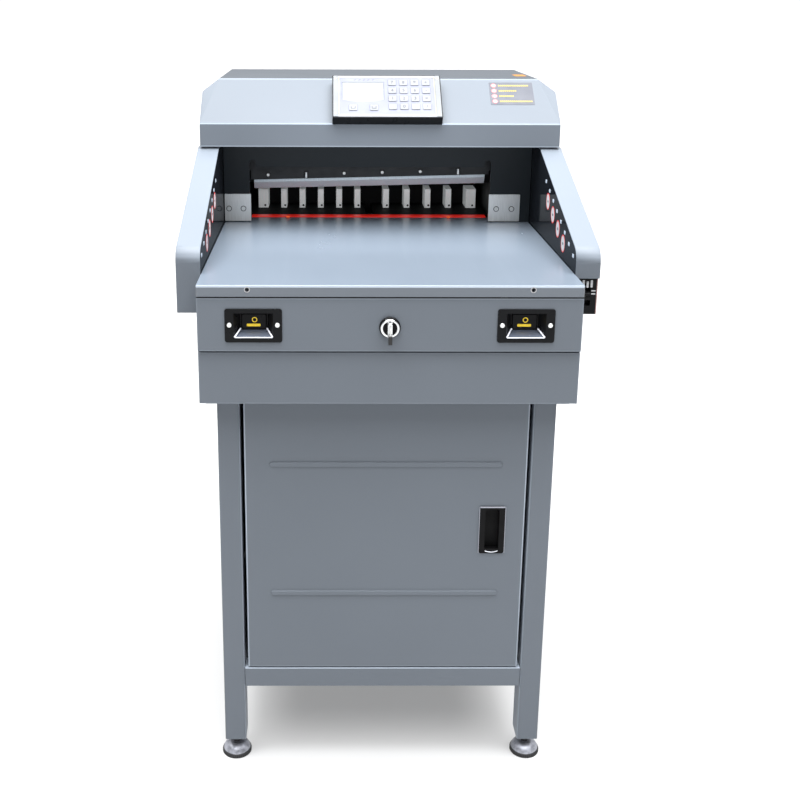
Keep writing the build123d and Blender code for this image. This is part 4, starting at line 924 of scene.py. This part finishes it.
def foot_ribs():
    """Ribbed rubber rim round the base of each levelling foot."""
    lift, rise = Vector((0, 0, 0.6 * MM)), Vector((0, 0, 5.6 * MM))
    for name in FEET:
        low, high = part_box(name)
        centre = Vector((middle((low, high)).x, middle((low, high)).y, 0))
        radius = (high.x - low.x) / 2
        bm = bmesh.new()
        for k in range(RIB_COUNT):
            t = 2 * math.pi * k / RIB_COUNT
            out = Vector((math.cos(t), math.sin(t), 0))
            along = Vector((-math.sin(t), math.cos(t), 0))
            base = [centre + out * (radius + r) + along * a + lift for r, a in RIB_OUTLINE]
            add_hexahedron(bm, base, [p + rise for p in base])
        make_piece(name + "_rim_ribs", bm, name, EXTRA["rubber"], 0.2 * MM)


def corner_plates():
    """Small plates that close the stand's front corners between the posts and the cabinet floor."""
    rail, leg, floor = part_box("stand_rails"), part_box("legs"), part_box("cabinet_floor")
    place = front_place(floor[0].y - 4 * MM)
    bm = bmesh.new()
    for side in (-1, 1):
        start, end = sorted((side * (leg[1].x - 8 * MM), side * (rail[1].x - 6 * MM)))
        add_slab(bm, (start, rail[0].z), (end, floor[1].z + 4 * MM), 1.5 * MM, place)
    make_piece("stand_corner_plates", bm, MACHINE, MATS["body_paint"], 0.3 * MM)


def door_pull_edges():
    """Painted highlights: a bright strip round the pull's flange for the light on its rolled edge, and a
    bright arc for the lit lip at the foot of its recess.
    """
    low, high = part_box("door_handle")
    place = front_place(low.y)
    bm = bmesh.new()
    edge, depth, foot, head = 0.9 * MM, 0.3 * MM, low.z + 1 * MM, high.z - 1 * MM
    add_slab(bm, (low.x - edge, foot), (low.x, head), depth, place)
    add_slab(bm, (high.x, foot), (high.x + edge, head), depth, place)
    add_slab(bm, (low.x + 0.5 * MM, high.z - 2.4 * MM), (high.x - 0.5 * MM, high.z), depth, place)
    make_piece("door_pull_edge", bm, "door", EXTRA["pull_edge"], 0.12 * MM)
    bm = bmesh.new()
    centre, level, steps = middle((low, high)).x, low.z + 4.6 * MM, 12
    half, sag, thick = mm(10.5, 2.2, 0.7)
    arc = [(-half + 2 * half * k / steps) for k in range(steps + 1)]
    lower = [(centre + u, level - sag * (1 - (u / half) ** 2) - thick) for u in arc]
    upper = [(centre + u, level - sag * (1 - (u / half) ** 2) + thick) for u in reversed(arc)]
    add_prism(bm, lower + upper, 0.5 * MM, place)
    make_piece("door_pull_lip", bm, "door", EXTRA["edge"], 0.2 * MM)


# ---- stage ----------------------------------------------------------------------------------------
CAMERA_PLACE = (-0.09299, -2.10641, 1.2741)
CAMERA_YAW, CAMERA_PITCH, CAMERA_ROLL = (math.radians(a) for a in (0.352, 15.090, 0.176))
CAMERA_LENS, CAMERA_SHIFT = 49.5, (0.08125, -0.130)
FLOOR_HALF = 60
FLOOR_TONE, FLOOR_GLOW = (0.42, 0.42, 0.42), 0.25
BACKDROP, ROOM = 1.05, 0.3
LAMP_POWER = 0.35


def add_camera():
    data = bpy.data.cameras.new("camera")
    camera = bpy.data.objects.new("camera", data)
    scene.collection.objects.link(camera)
    data.sensor_width = 36.0
    data.lens = CAMERA_LENS
    data.shift_x, data.shift_y = CAMERA_SHIFT
    data.clip_end = 50
    level = Vector((math.sin(CAMERA_YAW), math.cos(CAMERA_YAW), 0))
    forward = level * math.cos(CAMERA_PITCH) - Vector((0, 0, math.sin(CAMERA_PITCH)))
    side = Vector((math.cos(CAMERA_YAW), -math.sin(CAMERA_YAW), 0))
    top = side.cross(forward)
    right = side * math.cos(CAMERA_ROLL) + top * math.sin(CAMERA_ROLL)
    up = top * math.cos(CAMERA_ROLL) - side * math.sin(CAMERA_ROLL)
    turn = Matrix((right, up, -forward)).transposed()
    camera.matrix_world = Matrix.Translation(CAMERA_PLACE) @ turn.to_4x4()
    scene.camera = camera


def area_light(name, place, aim, size, power, colour=(1, 1, 1)):
    """A flat soft source at a place, turned toward a point."""
    data = bpy.data.lights.new(name, "AREA")
    data.shape = "RECTANGLE"
    data.size, data.size_y = size
    data.energy = power
    data.color = colour
    lamp = bpy.data.objects.new(name, data)
    scene.collection.objects.link(lamp)
    lamp.location = place
    lamp.rotation_euler = (Vector(aim) - Vector(place)).to_track_quat("-Z", "Y").to_euler()
    lamp.visible_camera = False
    return lamp


def add_floor():
    """Pale paper that is lit a little from beneath, which keeps the shadow soft."""
    mesh = bpy.data.meshes.new("floor")
    bm = bmesh.new()
    bmesh.ops.create_grid(bm, x_segments=1, y_segments=1, size=FLOOR_HALF)
    bm.to_mesh(mesh)
    bm.free()
    floor = bpy.data.objects.new("floor", mesh)
    scene.collection.objects.link(floor)
    p = Paint("floor_paper", FLOOR_TONE, 0.8, specular=0.1)
    p.shader.inputs["Emission Color"].default_value = (1, 1, 1, 1)
    p.shader.inputs["Emission Strength"].default_value = FLOOR_GLOW
    p.paint(p.mix(p.noise(2, 2), tone(FLOOR_TONE, 0.99), tone(FLOOR_TONE, 1.01)))
    mesh.materials.append(p.mat)


def add_world():
    """A dim room whose walls are white near the horizon, like the foot of a backdrop."""
    world = bpy.data.worlds.new("world")
    scene.world = world
    world.use_nodes = True
    tree = world.node_tree
    coords = tree.nodes.new("ShaderNodeTexCoord")
    split = tree.nodes.new("ShaderNodeSeparateXYZ")
    level = tree.nodes.new("ShaderNodeMath")
    level.operation = "ABSOLUTE"
    fade = tree.nodes.new("ShaderNodeMapRange")
    fade.interpolation_type = "SMOOTHSTEP"
    for socket, value in (("From Min", 0.06), ("From Max", 0.35), ("To Min", BACKDROP), ("To Max", ROOM)):
        fade.inputs[socket].default_value = value
    tree.links.new(coords.outputs["Generated"], split.inputs[0])
    tree.links.new(split.outputs["Z"], level.inputs[0])
    tree.links.new(level.outputs[0], fade.inputs["Value"])
    tree.links.new(fade.outputs["Result"], tree.nodes["Background"].inputs["Strength"])
    tree.nodes["Background"].inputs["Color"].default_value = (1, 1, 1, 1)


def sun_light(name, direction, power, angle):
    """A broad soft source far away; direction points from the scene to the light."""
    data = bpy.data.lights.new(name, "SUN")
    data.energy = power
    data.angle = math.radians(angle)
    lamp = bpy.data.objects.new(name, data)
    scene.collection.objects.link(lamp)
    lamp.location = Vector(direction) * 3
    lamp.rotation_euler = (-Vector(direction)).to_track_quat("-Z", "Y").to_euler()


def add_stage():
    scene.view_settings.view_transform = "Standard"
    add_camera()
    add_floor()
    add_world()
    sun_light("ceiling", (0, -0.07, 1), 7.0, 84)
    area_light("softbox", (0, -0.45, 2.5), (0, -0.3, 0.9), (2.2, 1.3), 75, (0.95, 0.98, 1.0))
    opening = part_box("knife_beam")[0].y
    lamp = area_light("opening_lamp", (0, opening - 0.3, 1.0), (0, opening, 0.95), (0.44, 0.03), LAMP_POWER)
    lamp.visible_glossy = False


finish_nodes()
key_marks()
control_trims()
display_prints()
hood_label()
wing_stickers()
power_switch_print()
button_details(-1, "left")
button_details(1, "right")
key_switch_disc()
lip_inserts()
guard_screw_shadows()
stick_knobs()
finger_bores()
foot_ribs()
corner_plates()
door_pull_edges()
add_stage()
